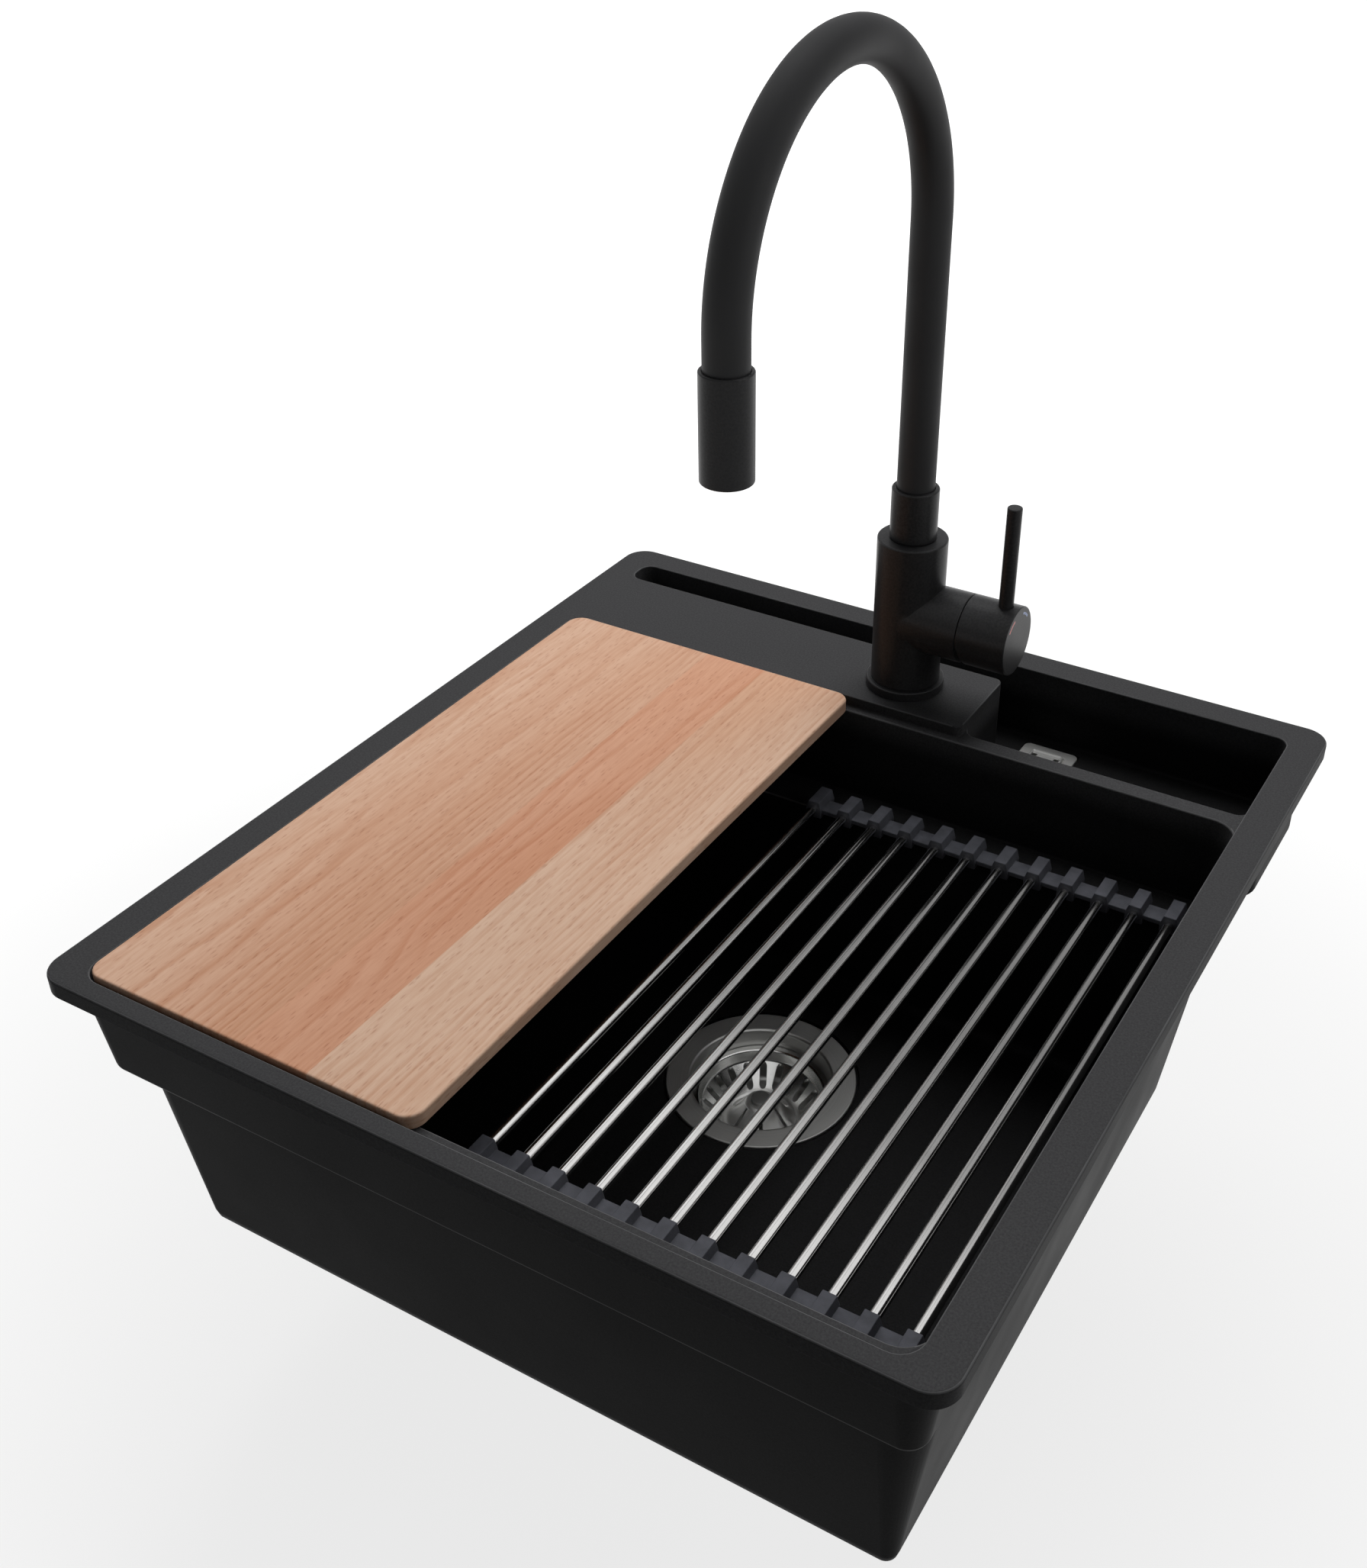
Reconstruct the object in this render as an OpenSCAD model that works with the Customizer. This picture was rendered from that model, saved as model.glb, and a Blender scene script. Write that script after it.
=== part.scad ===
// Workstation kitchen sink: a composite bowl with a board ledge, a roll-up rack,
// a basket strainer waste, a side tray with its own drain, and a single-lever tap.
// The origin is the centre of the rim's underside, which lies on the worktop.
// +X is to the right, +Y to the rear and +Z up. The user stands in front, at -Y.

/* [Rim and deck] */
// Width of the rim, left to right
rim_width = 500; // [470:5:600]
// Length of the rim, front to rear
rim_length = 550; // [520:5:650]
// Thickness of the rim
rim_thickness = 10; // [9:0.5:14]
// Corner radius of the rim
rim_corner = 15; // [10:1:25]
// Bevel along the rim's upper edge
rim_bevel = 1.5; // [0.5:0.25:2.5]
// Width of the rim at the left and right sides
side_rim = 20.5; // [16:0.5:30]
// Width of the rim at the front
front_rim = 11; // [9:0.5:20]
// Width of the rim behind the slot and the tray
rear_rim = 20; // [14:0.5:30]
// Width of the knife slot, front to rear
slot_width = 21; // [12:0.5:26]
// Depth of the tap deck, front to rear
deck_depth = 66.5; // [62:0.5:90]
// Corner radius at the free end of the tap deck
deck_corner = 5; // [2:0.5:6]

/* [Bowl] */
// Depth of the board ledge below the rim
board_ledge_depth = 7; // [5:0.5:8]
// Width of the board ledge at the front
front_ledge = 8.5; // [6:0.5:14]
// Width of the board ledge at the rear
rear_ledge = 5.5; // [4:0.5:10]
// Corner radius of the recess for the board
recess_corner = 16; // [12:1:24]
// Depth of the rack ledge below the rim
rack_ledge_depth = 62; // [54:1:70]
// How far the upper walls lean in, from the board ledge to the rack ledge
upper_lean = 7.5; // [4:0.5:10]
// Width of the rack ledge at the front
rack_ledge_front = 27; // [24:0.5:32]
// Width of the rack ledge at the rear
rack_ledge_rear = 26.5; // [24:0.5:32]
// Depth of the bowl below the rim
bowl_depth = 192; // [160:2:220]
// How far the lower side walls lean in, down to the floor
lower_side_lean = 18; // [10:1:20]
// How far the lower front and rear walls lean in, down to the floor
lower_end_lean = 3; // [2:0.5:8]
// Corner radius of the lower bowl
bowl_corner = 14; // [12:1:24]
// Radius between the walls and the floor
floor_fillet = 11; // [8:1:16]

/* [Shell] */
// Thickness of the bowl floor
floor_thickness = 8; // [7:0.5:12]
// Thickness of the lower side walls at the step
side_wall = 8; // [7:0.5:12]
// Thickness of the lower front wall at the step
front_wall = 26; // [20:0.5:27]
// Thickness of the lower rear wall at the step
rear_wall = 23.5; // [18:0.5:25]
// Inset of the skirt from the rim's edge, under the rim
skirt_inset = 9.5; // [8:0.5:10]
// Depth of the skirt below the worktop
skirt_depth = 59; // [56:0.5:64]
// Lean of the outer walls, per unit of depth
shell_draft = 0.125; // [0.08:0.005:0.14]
// Corner radius of the skirt under the rim
skirt_corner = 18; // [14:1:24]
// Thickness of the rear wall of the bowl under the divider
divider_wall = 10; // [8:0.5:11]
// Rounding of the shell's lower edge
shell_fillet = 12; // [8:1:14]

/* [Tray and knife slot] */
// Thickness of the divider between the bowl and the tray
divider = 11.6; // [9:0.1:16]
// Width of the tray, left to right
tray_width = 176.5; // [150:0.5:186]
// Depth of the tray and the slot below the rim
tray_depth = 49; // [38:1:52]
// Corner radius of the tray and the slot
tray_corner = 8; // [4:1:10]
// Wall and floor thickness of the tray box
tray_wall = 9; // [7:0.5:10]

/* [Rim seal] */
// Width of the foam strip under the rim
seal_width = 4; // [3:0.25:5]
// Thickness of the foam strip
seal_depth = 1.6; // [1:0.1:2.5]
// Distance from the rim's edge to the strip
seal_inset = 2.5; // [2:0.25:3]

/* [Board] */
// Width of the board
board_width = 208; // [150:2:240]
// Thickness of the board
board_thickness = 8.5; // [7:0.5:20]
// Corner radius of the board
board_corner = 10; // [5:1:20]
// Rounding of the board's edges
board_edge = 1.2; // [0.5:0.1:2]
// Gap between the board and the recess round it
board_gap = 1.5; // [0.5:0.25:3]

/* [Rack] */
// Diameter of the rods
rod_d = 6; // [4:0.5:7]
// Pitch of the rods
rod_pitch = 20.8; // [19:0.1:21]
// Height of the rod centres above the rack ledge
rod_height = 6; // [5:0.25:7]
// Gap between the ends of the rack and the bowl wall
rack_end_gap = 17.75; // [14:0.25:18]
// Gap between the last grip and the right bowl wall
rack_side_gap = 7.55; // [3:0.25:12]
// Length of a grip without its collar
grip_length = 16.5; // [14:0.5:24]
// Width of a grip at its base
grip_base = 11.3; // [9:0.1:13]
// Width of a grip at its top
grip_top = 5.5; // [4:0.1:8]
// Height of a grip
grip_height = 12; // [11:0.25:14]
// Height at which the grip's sides begin to slope
grip_shoulder = 4.5; // [3:0.25:6]
// Diameter of the collar where the rod enters the grip
collar_d = 9; // [8:0.25:10]
// Length of that collar
collar_length = 2; // [1:0.25:4]
// Thickness of the link plates between the grips
link_thickness = 3; // [2:0.25:4]
// Width of the link plates, along the rods
link_width = 9.5; // [6:0.5:14]
// Height of the hinge lines above the rack ledge
link_height = 5; // [3.5:0.25:6]

/* [Basket strainer waste] */
// Distance of the drain behind the middle of the bowl
drain_back = 66.75; // [0:0.25:90]
// Diameter of the strainer flange
flange_d = 118; // [108:1:130]
// Thickness of the strainer flange
flange_thickness = 2; // [1.5:0.25:2.5]
// Thickness of the seal under the flange
top_seal = 1; // [0.5:0.25:1.5]
// Width of the groove round the flange
flange_groove = 2; // [1:0.25:3]
// Inner diameter of the strainer cup
cup_d = 87; // [80:1:92]
// Wall thickness of the strainer cup
cup_wall = 2; // [1.5:0.25:3]
// Depth of the step that carries the basket
cup_step = 14; // [10:0.5:18]
// Width of that step
cup_step_width = 3; // [2:0.25:4]
// Depth of the strainer cup
cup_depth = 44; // [42:1:60]
// Bore of the outlet
outlet_bore = 38; // [32:1:40]
// Wall thickness of the outlet
outlet_wall = 2.5; // [2:0.25:3]
// Length of the outlet below the cup
outlet_length = 18; // [14:1:30]
// Thickness of the rubber ring under the bowl
lower_seal = 3; // [2:0.5:5]
// Height of the waste nut
waste_nut_height = 10; // [8:0.5:14]
// Width of the waste nut's ring
waste_nut_ring = 11; // [8:0.5:14]
// Length of the tailpiece below its nut
tailpiece_length = 40; // [20:5:120]
// Wall thickness of the tailpiece
tailpiece_wall = 1.6; // [1:0.1:2]

/* [Basket] */
// Sheet thickness of the basket
basket_sheet = 1.2; // [0.8:0.1:1.5]
// Inner diameter of the basket at its bottom
basket_floor_d = 64; // [56:1:70]
// Number of slots in the basket wall
basket_slots = 20; // [12:1:24]
// Width of a slot in the basket wall
slot_open = 3.8; // [3:0.1:4]
// Number of petals round the raised centre
petals = 8; // [6:1:10]
// Diameter of the flat disc in the middle
disc_d = 12; // [9:0.5:15]
// Diameter of the basket's post
post_d = 6; // [4:0.5:7]
// Diameter of the rubber stopper
stopper_d = 34; // [28:1:40]

/* [Tray drain] */
// Distance of the tray drain from the tray's left wall
tray_drain_x = 33; // [28:1:120]
// Distance of the tray drain from the tray's rear wall
tray_drain_y = 26; // [24:0.5:40]
// Side of the tray drain's frame
tray_frame = 36; // [34:0.5:44]
// Side of the raised cover
tray_cover = 21; // [19:0.5:24]
// Slot round the raised cover
tray_cover_slot = 0.8; // [0.5:0.1:1.5]
// Side of the square holes in the cover
cover_hole = 3.8; // [3:0.1:4]
// Outer diameter of the spigot's thread
spigot_d = 21; // [20:0.5:22]
// Outer diameter of the spigot's hose tail
spigot_tail_d = 19; // [18:0.5:20]
// Wall thickness of the spigot
spigot_wall = 2; // [1.5:0.25:3]
// Length of the spigot below the tray
spigot_length = 30; // [24:1:60]

/* [Tap] */
// Distance of the tap axis from the deck's front edge
tap_back = 32.5; // [28:0.5:45]
// Distance of the tap axis to the right of the middle
tap_right = 0; // [-10:0.5:10]
// Diameter of the base ring
base_d = 49; // [46:0.5:56]
// Height of the base ring
base_height = 6; // [4:0.5:10]
// Diameter of the tap body and its branch
body_d = 43; // [41:0.5:46]
// Height of the body's top above the rim
body_height = 101.6; // [92:0.2:130]
// Height of the branch axis above the rim
branch_height = 50; // [44:0.5:60]
// Length of the branch from the tap axis
branch_length = 40; // [38:0.5:52]
// Diameter of the hole in the deck
tap_hole = 35; // [34:0.5:36]
// Diameter of the threaded shank
shank_d = 32.8; // [32:0.1:33.4]
// Wall thickness of the shank
shank_wall = 3.4; // [2.5:0.1:4]
// Length of the shank below the worktop
shank_length = 45; // [35:1:70]
// Thickness of the rubber washer under the deck
washer_thickness = 3; // [2:0.5:5]
// Height of the shank nut
shank_nut_height = 12; // [8:0.5:16]

/* [Lever] */
// Length of the lever cap
cap_length = 31.4; // [29:0.2:40]
// Wall thickness of the lever cap
cap_wall = 3.9; // [3:0.1:5]
// Seam between the branch and the cap
cap_seam = 0.6; // [0.4:0.1:1.5]
// Extra opening of the seam at the bottom, for the tilt
cap_wedge = 5; // [4.8:0.1:6]
// Diameter of the lever rod
lever_d = 9; // [7:0.5:11]
// Height of the lever rod's tip above the rim
lever_tip = 135.4; // [110:0.2:170]
// Distance of the lever rod from the cap's end
lever_inset = 9; // [7:0.5:10]
// Diameter of the cartridge
cartridge_d = 35; // [34:0.5:36]
// Diameter of the cartridge's turning core
carrier_d = 18; // [17:0.5:20]
// Side of the square cartridge stem
stem_side = 7; // [6:0.25:8]
// Distance of the tilt axis behind the branch's end
tilt_back = 8; // [6:0.5:9]

/* [Spout] */
// Diameter of the turning collar
collar_ring_d = 28.6; // [27:0.2:32]
// Height of the turning collar's top above the body
collar_ring_height = 32.4; // [24:0.4:50]
// Diameter of the spout hose
hose_d = 23; // [19:0.5:24]
// Wall thickness of the hose sleeve
sleeve_wall = 3; // [2:0.25:4]
// Diameter of the water tube in the hose
tube_d = 12; // [9:0.5:13]
// Wall thickness of the water tube
tube_wall = 1.5; // [1:0.25:2]
// Distance from the tap axis to the nozzle axis
spout_reach = 217.4; // [180:0.2:240]
// Height of the hose's apex, at its centreline, above the rim
spout_apex = 400; // [360:1:440]
// Diameter of the nozzle
nozzle_d = 27; // [26:0.5:32]
// Height of the nozzle's mouth above the rim
nozzle_mouth = 222; // [200:1:240]
// Length of the nozzle
nozzle_length = 55; // [40:1:70]

/* [Hidden] */
$fn = 96;

// Clearances
rest_gap = 0.3;          // under a piece that lies on a ledge and can be moved
running_fit = 0.05;      // radial play of a turning or sliding fit
seat_fit = 0.05;         // radial play of a fixed fit
thread_fit = 0.1;        // radial play of a threaded pair, modelled without its thread
through_gap = 0.5;       // radial play of a pipe in its hole
cut = 1;                 // how far a cutting shape runs past the face that it cuts
skin = 0.02;             // thickness of the layers that a hull is drawn over
layer_fn = 32;           // facets of a corner in those layers
slats = 12;              // rods of the rack, one node each

// Levels of the bowl
rim_top = rim_thickness;
board_ledge_z = rim_top - board_ledge_depth;
rack_ledge_z = rim_top - rack_ledge_depth;
floor_z = rim_top - bowl_depth;
base_z = floor_z - floor_thickness;
tray_z = rim_top - tray_depth;
tray_base_z = tray_z - tray_wall;

// Plan of the recess, from the rim inwards
right_x = rim_width / 2 - side_rim;
recess_front = -rim_length / 2 + front_rim;
slot_rear = rim_length / 2 - rear_rim;
slot_front = slot_rear - slot_width;
deck_front = slot_front - deck_depth;
deck_right = right_x - tray_width;
bowl_front = recess_front + front_ledge;
bowl_rear = deck_front - rear_ledge;
tray_front = bowl_rear + divider;
bowl_middle = (bowl_front + bowl_rear) / 2;

// Plan of the bowl at the rack ledge
ledge_x = right_x - upper_lean;
ledge_front = bowl_front + upper_lean;
ledge_rear = bowl_rear - upper_lean;
lower_front = ledge_front + rack_ledge_front;
lower_rear = ledge_rear - rack_ledge_rear;

// Plan of the shell
skirt_x = rim_width / 2 - skirt_inset;
skirt_front = -rim_length / 2 + skirt_inset;
skirt_rear = bowl_rear + divider_wall;
box_rear = rim_length / 2 - skirt_inset;
skirt_edge = 3.5;

// Outlines as [left, right, front, rear]
rim_plan = [-rim_width / 2, rim_width / 2, -rim_length / 2, rim_length / 2];
skirt_plan = [-skirt_x, skirt_x, skirt_front, skirt_rear];
upper_plan = [-right_x, right_x, bowl_front, bowl_rear];
lower_plan = [-ledge_x, ledge_x, lower_front, lower_rear];
shell_plan = [-ledge_x - side_wall, ledge_x + side_wall, lower_front - front_wall, lower_rear + rear_wall];
slot_plan = [-right_x, right_x, slot_front, slot_rear];
tray_plan = [deck_right, right_x, tray_front, slot_rear];

// Board
board_left = -right_x + board_gap;
board_z = board_ledge_z + rest_gap;
board_plan = [board_left, board_left + board_width, recess_front + board_gap, deck_front - board_gap];

// Rack
rack_z = rack_ledge_z + rest_gap;
rod_z = rack_ledge_z + rod_height;
link_z = rack_ledge_z + link_height;
rack_front = ledge_front + rack_end_gap;
rack_rear = ledge_rear - rack_end_gap;
last_rod_x = ledge_x - rack_side_gap - grip_base / 2;
first_rod_x = last_rod_x - (slats - 1) * rod_pitch;
rod_cover = 12;          // length of rod inside each grip
link_gap = 0.3;          // between two link halves, so that they can fold
link_set_in = 3.5;       // from the outer end of the grip to the link plate

// Drain
drain_y = bowl_middle + drain_back;
seat_depth = flange_thickness + top_seal;
cup_r = cup_d / 2;
cup_out_r = cup_r + cup_wall;
low_cup_r = cup_r - cup_step_width;
cup_foot = 6;            // how far the cup's bottom rises from the outlet to the wall
outlet_r = outlet_bore / 2;
outlet_out_r = outlet_r + outlet_wall;
outlet_z = floor_z - cup_depth - outlet_length;
waste_nut_top = base_z - lower_seal;
tail_r = outlet_r;
tail_neck_r = tail_r + 0.4;
tail_flange = 2;
tail_nut_wall = 3.5;
tail_nut_height = 18;
tail_lip = 4;

// Basket, as depths below the bowl floor
basket_rim_low = cup_step - rest_gap;
basket_rim_high = basket_rim_low - basket_sheet;
basket_side_r = low_cup_r - rest_gap - 0.2;
basket_floor_r = basket_floor_d / 2;
basket_bottom = cup_depth - cup_foot - 1.5;
hub_top = cup_step + 5;
hub_r = disc_d / 2 + 1.5;
petal_r = basket_floor_r - 6;
disc_thickness = 2.2;

// Tray drain
tray_drain = [deck_right + tray_drain_x, slot_rear - tray_drain_y];
frame_thickness = 2;
frame_proud = 0.5;
pocket_depth = 1.3;
cover_foot = 1;
cover_thickness = 1.6;
cover_r = 2;
tray_seal = 2;
tray_nut_height = 7;
tray_nut_z = tray_base_z - tray_seal - tray_nut_height;

// Tap, with heights above the worktop
tap_xy = [tap_right, deck_front + tap_back];
base_top = rim_top + base_height;
body_r = body_d / 2;
body_top = rim_top + body_height;
branch_z = rim_top + branch_height;
shank_r = shank_d / 2;
shank_bore_r = shank_r - shank_wall;
shank_grip = 12;         // thread of the shank inside the body
water_r = 6;             // waterway through the body and the collar
washer_r = 24;
nut_r = 24;
plug_height = 12;
nipple_r = 5;
nipple_root_r = 4.6;     // inside the plug, above the nipple's shoulder
nipple_bore_r = 2;
nipple_x = 6;
nipple_length = 18;

// Lever
cartridge_r = cartridge_d / 2;
cartridge_back = 28;     // from the branch's end to the cartridge's rear face
neck_r = 13;
neck_length = 6;
carrier_r = carrier_d / 2;
carrier_back = 16;       // from the branch's end to the carrier's rear face
cap_x = branch_length + cap_seam;
cap_end = cap_x + cap_length;
cap_cavity = 15.4;
stem_reach = 9;          // of the stem beyond the cap's cavity
trunnion_r = 2.5;
tilt_x = branch_length - tilt_back;
lever_x = cap_end - lever_inset;
lever_seat = 8;          // depth of the rod's hole in the cap
screw_r = 2.5;
mark_r = 17.3;
mark_width = 1.5;
mark_depth = 0.5;
mark_angle = 36;
mark_span = 30;

// Spout
spigot_r = 10;
spigot_depth = 18;
collar_gap = 0.3;        // running gap under the turning collar
ring_r = collar_ring_d / 2;
ring_top = body_top + collar_ring_height;
socket_depth = 8;        // of the hose in the collar and the nozzle
hose_r = hose_d / 2;
tube_r = tube_d / 2;
nozzle_low = rim_top + nozzle_mouth;
nozzle_top = nozzle_low + nozzle_length;
nozzle_r = nozzle_d / 2;
aerator_r = nozzle_r - 2.5;
aerator_height = 10;

// The hose rises upright, turns over in a half circle and ends straight down in the nozzle
crown = spout_reach / 2;
crown_z = rim_top + spout_apex - crown;

// ---------------------------------------------------------------- shared shapes

// A rectangle with round corners, from [left, right, front, rear]
module rounded(p, r) {
    translate([p[0] + r, p[2]]) square([p[1] - p[0] - 2 * r, p[3] - p[2]]);
    translate([p[0], p[2] + r]) square([p[1] - p[0], p[3] - p[2] - 2 * r]);
    for (x = [p[0] + r, p[1] - r], y = [p[2] + r, p[3] - r]) translate([x, y]) circle(r);
}

// A block with round corners whose plan shrinks by inset on every side, from z = top to z = low
module drafted(p, r, top, low, inset) {
    h = top - low;
    for (x = [p[0] + r, p[1] - r], y = [p[2] + r, p[3] - r])
        translate([x, y, low]) cylinder(h, r - inset, r);
    translate([0, p[3] - r, low]) rotate([90, 0, 0]) linear_extrude(p[3] - p[2] - 2 * r)
        polygon([[p[0] + inset, 0], [p[1] - inset, 0], [p[1], h], [p[0], h]]);
    translate([p[0] + r, 0, low]) rotate([90, 0, 90]) linear_extrude(p[1] - p[0] - 2 * r)
        polygon([[p[2] + inset, 0], [p[3] - inset, 0], [p[3], h], [p[2], h]]);
}

// One thin layer of a lofted block, at height z, drawn in by [sides, ends]
module layer(p, r, z, inset) {
    for (x = [p[0] + inset[0] + r, p[1] - inset[0] - r], y = [p[2] + inset[1] + r, p[3] - inset[1] - r])
        translate([x, y, z]) cylinder(skin, r, r, $fn = layer_fn);
}

// A block that leans in by lean = [sides, ends] down to its floor, with a rounded lower edge
module basin(p, r, top, low, lean, fillet) {
    hull() {
        layer(p, r, top - skin, [0, 0]);
        for (a = [0:22.5:90])
            layer(p, r, low + fillet * (1 - cos(a)), lean + [1, 1] * fillet * (1 - sin(a)));
    }
}

module tube(h, outer, inner) {
    difference() {
        cylinder(h, outer, outer);
        translate([0, 0, -cut]) cylinder(h + 2 * cut, inner, inner);
    }
}

module at_drain() translate([0, drain_y, floor_z]) children();
module at_tray_drain() translate([tray_drain[0], tray_drain[1], 0]) children();
module at_tap() translate([tap_xy[0], tap_xy[1], 0]) children();
// Along the branch: z runs outwards from the tap axis, x points up
module at_branch() at_tap() translate([0, 0, branch_z]) rotate([0, 90, 0]) mirror([1, 0, 0]) children();

// ---------------------------------------------------------------- sink

module rim_plate() {
    linear_extrude(rim_thickness - rim_bevel) rounded(rim_plan, rim_corner);
    mirror([0, 0, 1]) drafted(rim_plan, rim_corner, rim_bevel - rim_thickness, -rim_thickness, rim_bevel);
}

module skirt() {
    lean_in = shell_draft * (skirt_depth - skirt_edge);
    drafted(skirt_plan, skirt_corner, skin, skirt_edge - skirt_depth, lean_in);
    inner = [skirt_plan[0] + lean_in, skirt_plan[1] - lean_in, skirt_plan[2] + lean_in, skirt_plan[3] - lean_in];
    drafted(inner, skirt_corner - lean_in, skirt_edge - skirt_depth, -skirt_depth, skirt_edge);
}

module shell() {
    depth = -skirt_depth - base_z;
    basin(shell_plan, bowl_corner + side_wall, cut - skirt_depth, base_z,
          [1, 1] * shell_draft * depth, shell_fillet);
}

module tray_box() {
    box_x = skirt_x;
    translate([0, 0, tray_base_z]) linear_extrude(-tray_base_z + skin) {
        rounded([-box_x, box_x, slot_front - tray_wall, box_rear], tray_corner + tray_wall);
        rounded([deck_right - tray_wall, box_x, bowl_rear, box_rear], tray_corner + tray_wall);
    }
}

// The recess that the board lies in, with the deck's free corners rounded
module recess() {
    translate([0, 0, board_ledge_z]) linear_extrude(board_ledge_depth + cut) {
        rounded([-right_x, right_x, recess_front, deck_front], recess_corner - 4);
        rounded([deck_right, right_x, bowl_middle, slot_rear], tray_corner);
        translate([deck_right - deck_corner, deck_front]) difference() {
            square([deck_corner + cut, deck_corner]);
            translate([0, deck_corner]) circle(deck_corner);
        }
    }
}

module tray_space() {
    translate([0, 0, tray_z]) linear_extrude(tray_depth + cut) {
        rounded(slot_plan, tray_corner);
        rounded(tray_plan, tray_corner);
        translate([deck_right - deck_corner, slot_front - deck_corner]) difference() {
            square([deck_corner + cut, deck_corner + cut]);
            circle(deck_corner);
        }
    }
}

module seal_groove() {
    near = [for (i = [0:3]) rim_plan[i] + (i % 2 == 0 ? 1 : -1) * seal_inset];
    far = [for (i = [0:3]) near[i] + (i % 2 == 0 ? 1 : -1) * seal_width];
    difference() {
        rounded(near, rim_corner - seal_inset);
        rounded(far, rim_corner - seal_inset - seal_width);
    }
}

module sink_body() color("#2b2b2c") difference() {
    union() {
        rim_plate();
        skirt();
        shell();
        tray_box();
    }
    recess();
    drafted(upper_plan, recess_corner, board_ledge_z + skin, rack_ledge_z, upper_lean);
    basin(lower_plan, bowl_corner, rack_ledge_z + cut, floor_z, [lower_side_lean, lower_end_lean], floor_fillet);
    tray_space();
    translate([0, 0, -cut]) linear_extrude(seal_depth + cut) seal_groove();
    at_drain() {
        translate([0, 0, -seat_depth]) cylinder(seat_depth + cut, flange_d / 2 + flange_groove, flange_d / 2 + flange_groove);
        translate([0, 0, -floor_thickness - cut]) cylinder(floor_thickness + 2 * cut, cup_out_r + through_gap, cup_out_r + through_gap);
    }
    at_tap() translate([0, 0, -cut]) cylinder(rim_thickness + 2 * cut, tap_hole / 2, tap_hole / 2);
    at_tray_drain() {
        translate([0, 0, tray_z - frame_thickness + frame_proud])
            linear_extrude(frame_thickness) square(tray_frame + 1, center = true);
        translate([0, 0, tray_base_z - cut]) cylinder(tray_wall + 2 * cut, spigot_d / 2 + through_gap, spigot_d / 2 + through_gap);
    }
}

module rim_seal() color("#3a3a3c") linear_extrude(seal_depth) seal_groove();

module cutting_board() color("#c98e57") hull() {
    for (e = [[board_edge, 0], [0, board_edge], [0, board_thickness - board_edge - skin], [board_edge, board_thickness - skin]])
        layer(board_plan, board_corner - e[0] / 2, board_z + e[1], [e[0], e[0]]);
}

// ---------------------------------------------------------------- rack

function slat_x(i) = first_rod_x + i * rod_pitch;

module rack_rod(i) color("#c9c9c9")
    translate([slat_x(i), rack_rear - grip_length - collar_length + rod_cover, rod_z]) rotate([90, 0, 0])
        cylinder(rack_rear - rack_front - 2 * (grip_length + collar_length - rod_cover), rod_d / 2, rod_d / 2);

// Half a link plate, from the grip to the fold line, with a round end
module link_half() {
    reach = rod_pitch / 2 - link_gap / 2 - link_thickness / 2;
    translate([0, link_set_in, link_z]) {
        translate([0, 0, -link_thickness / 2]) cube([reach, link_width, link_thickness]);
        translate([reach, link_width, 0]) rotate([90, 0, 0])
            cylinder(link_width, link_thickness / 2, link_thickness / 2);
    }
}

// The grip at the front end of a rod, drawn at x = 0 from its outer end towards the rear
module end_grip(i) difference() {
    union() {
        translate([0, grip_length, rack_z]) rotate([90, 0, 0]) linear_extrude(grip_length)
            polygon([
                [-grip_base / 2, 0], [grip_base / 2, 0], [grip_base / 2, grip_shoulder],
                [grip_top / 2, grip_height], [-grip_top / 2, grip_height], [-grip_base / 2, grip_shoulder]
            ]);
        translate([0, grip_length + collar_length, rod_z]) rotate([90, 0, 0])
            cylinder(collar_length + cut, collar_d / 2, collar_d / 2);
        if (i > 0) mirror([1, 0, 0]) link_half();
        if (i < slats - 1) link_half();
    }
    translate([0, grip_length + collar_length + cut, rod_z]) rotate([90, 0, 0])
        cylinder(rod_cover + cut, rod_d / 2 + seat_fit, rod_d / 2 + seat_fit);
}

module rack_grip(i) color("#3b3c41") translate([slat_x(i), 0, 0]) {
    translate([0, rack_front, 0]) end_grip(i);
    translate([0, rack_rear, 0]) mirror([0, 1, 0]) end_grip(i);
}

module rack_rod_01() rack_rod(0);
module rack_rod_02() rack_rod(1);
module rack_rod_03() rack_rod(2);
module rack_rod_04() rack_rod(3);
module rack_rod_05() rack_rod(4);
module rack_rod_06() rack_rod(5);
module rack_rod_07() rack_rod(6);
module rack_rod_08() rack_rod(7);
module rack_rod_09() rack_rod(8);
module rack_rod_10() rack_rod(9);
module rack_rod_11() rack_rod(10);
module rack_rod_12() rack_rod(11);

module rack_grip_01() rack_grip(0);
module rack_grip_02() rack_grip(1);
module rack_grip_03() rack_grip(2);
module rack_grip_04() rack_grip(3);
module rack_grip_05() rack_grip(4);
module rack_grip_06() rack_grip(5);
module rack_grip_07() rack_grip(6);
module rack_grip_08() rack_grip(7);
module rack_grip_09() rack_grip(8);
module rack_grip_10() rack_grip(9);
module rack_grip_11() rack_grip(10);
module rack_grip_12() rack_grip(11);

// ---------------------------------------------------------------- strainer waste

// Flange, stepped cup and threaded outlet in one spinning, as radius and depth
module drain_flange() color("#9b9b99") at_drain() rotate_extrude() polygon([
    [cup_r, 0], [flange_d / 2 - 1, 0], [flange_d / 2, -1], [flange_d / 2, -flange_thickness],
    [cup_out_r, -flange_thickness], [cup_out_r, waste_nut_top - waste_nut_height - 3 - floor_z],
    [low_cup_r + cup_wall, -cup_depth + cup_foot - 1], [outlet_out_r, -cup_depth - cup_wall],
    [outlet_out_r, -cup_depth - outlet_length], [outlet_r, -cup_depth - outlet_length],
    [outlet_r, -cup_depth], [low_cup_r, -cup_depth + cup_foot], [low_cup_r, -cup_step], [cup_r, -cup_step]
]);

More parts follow.
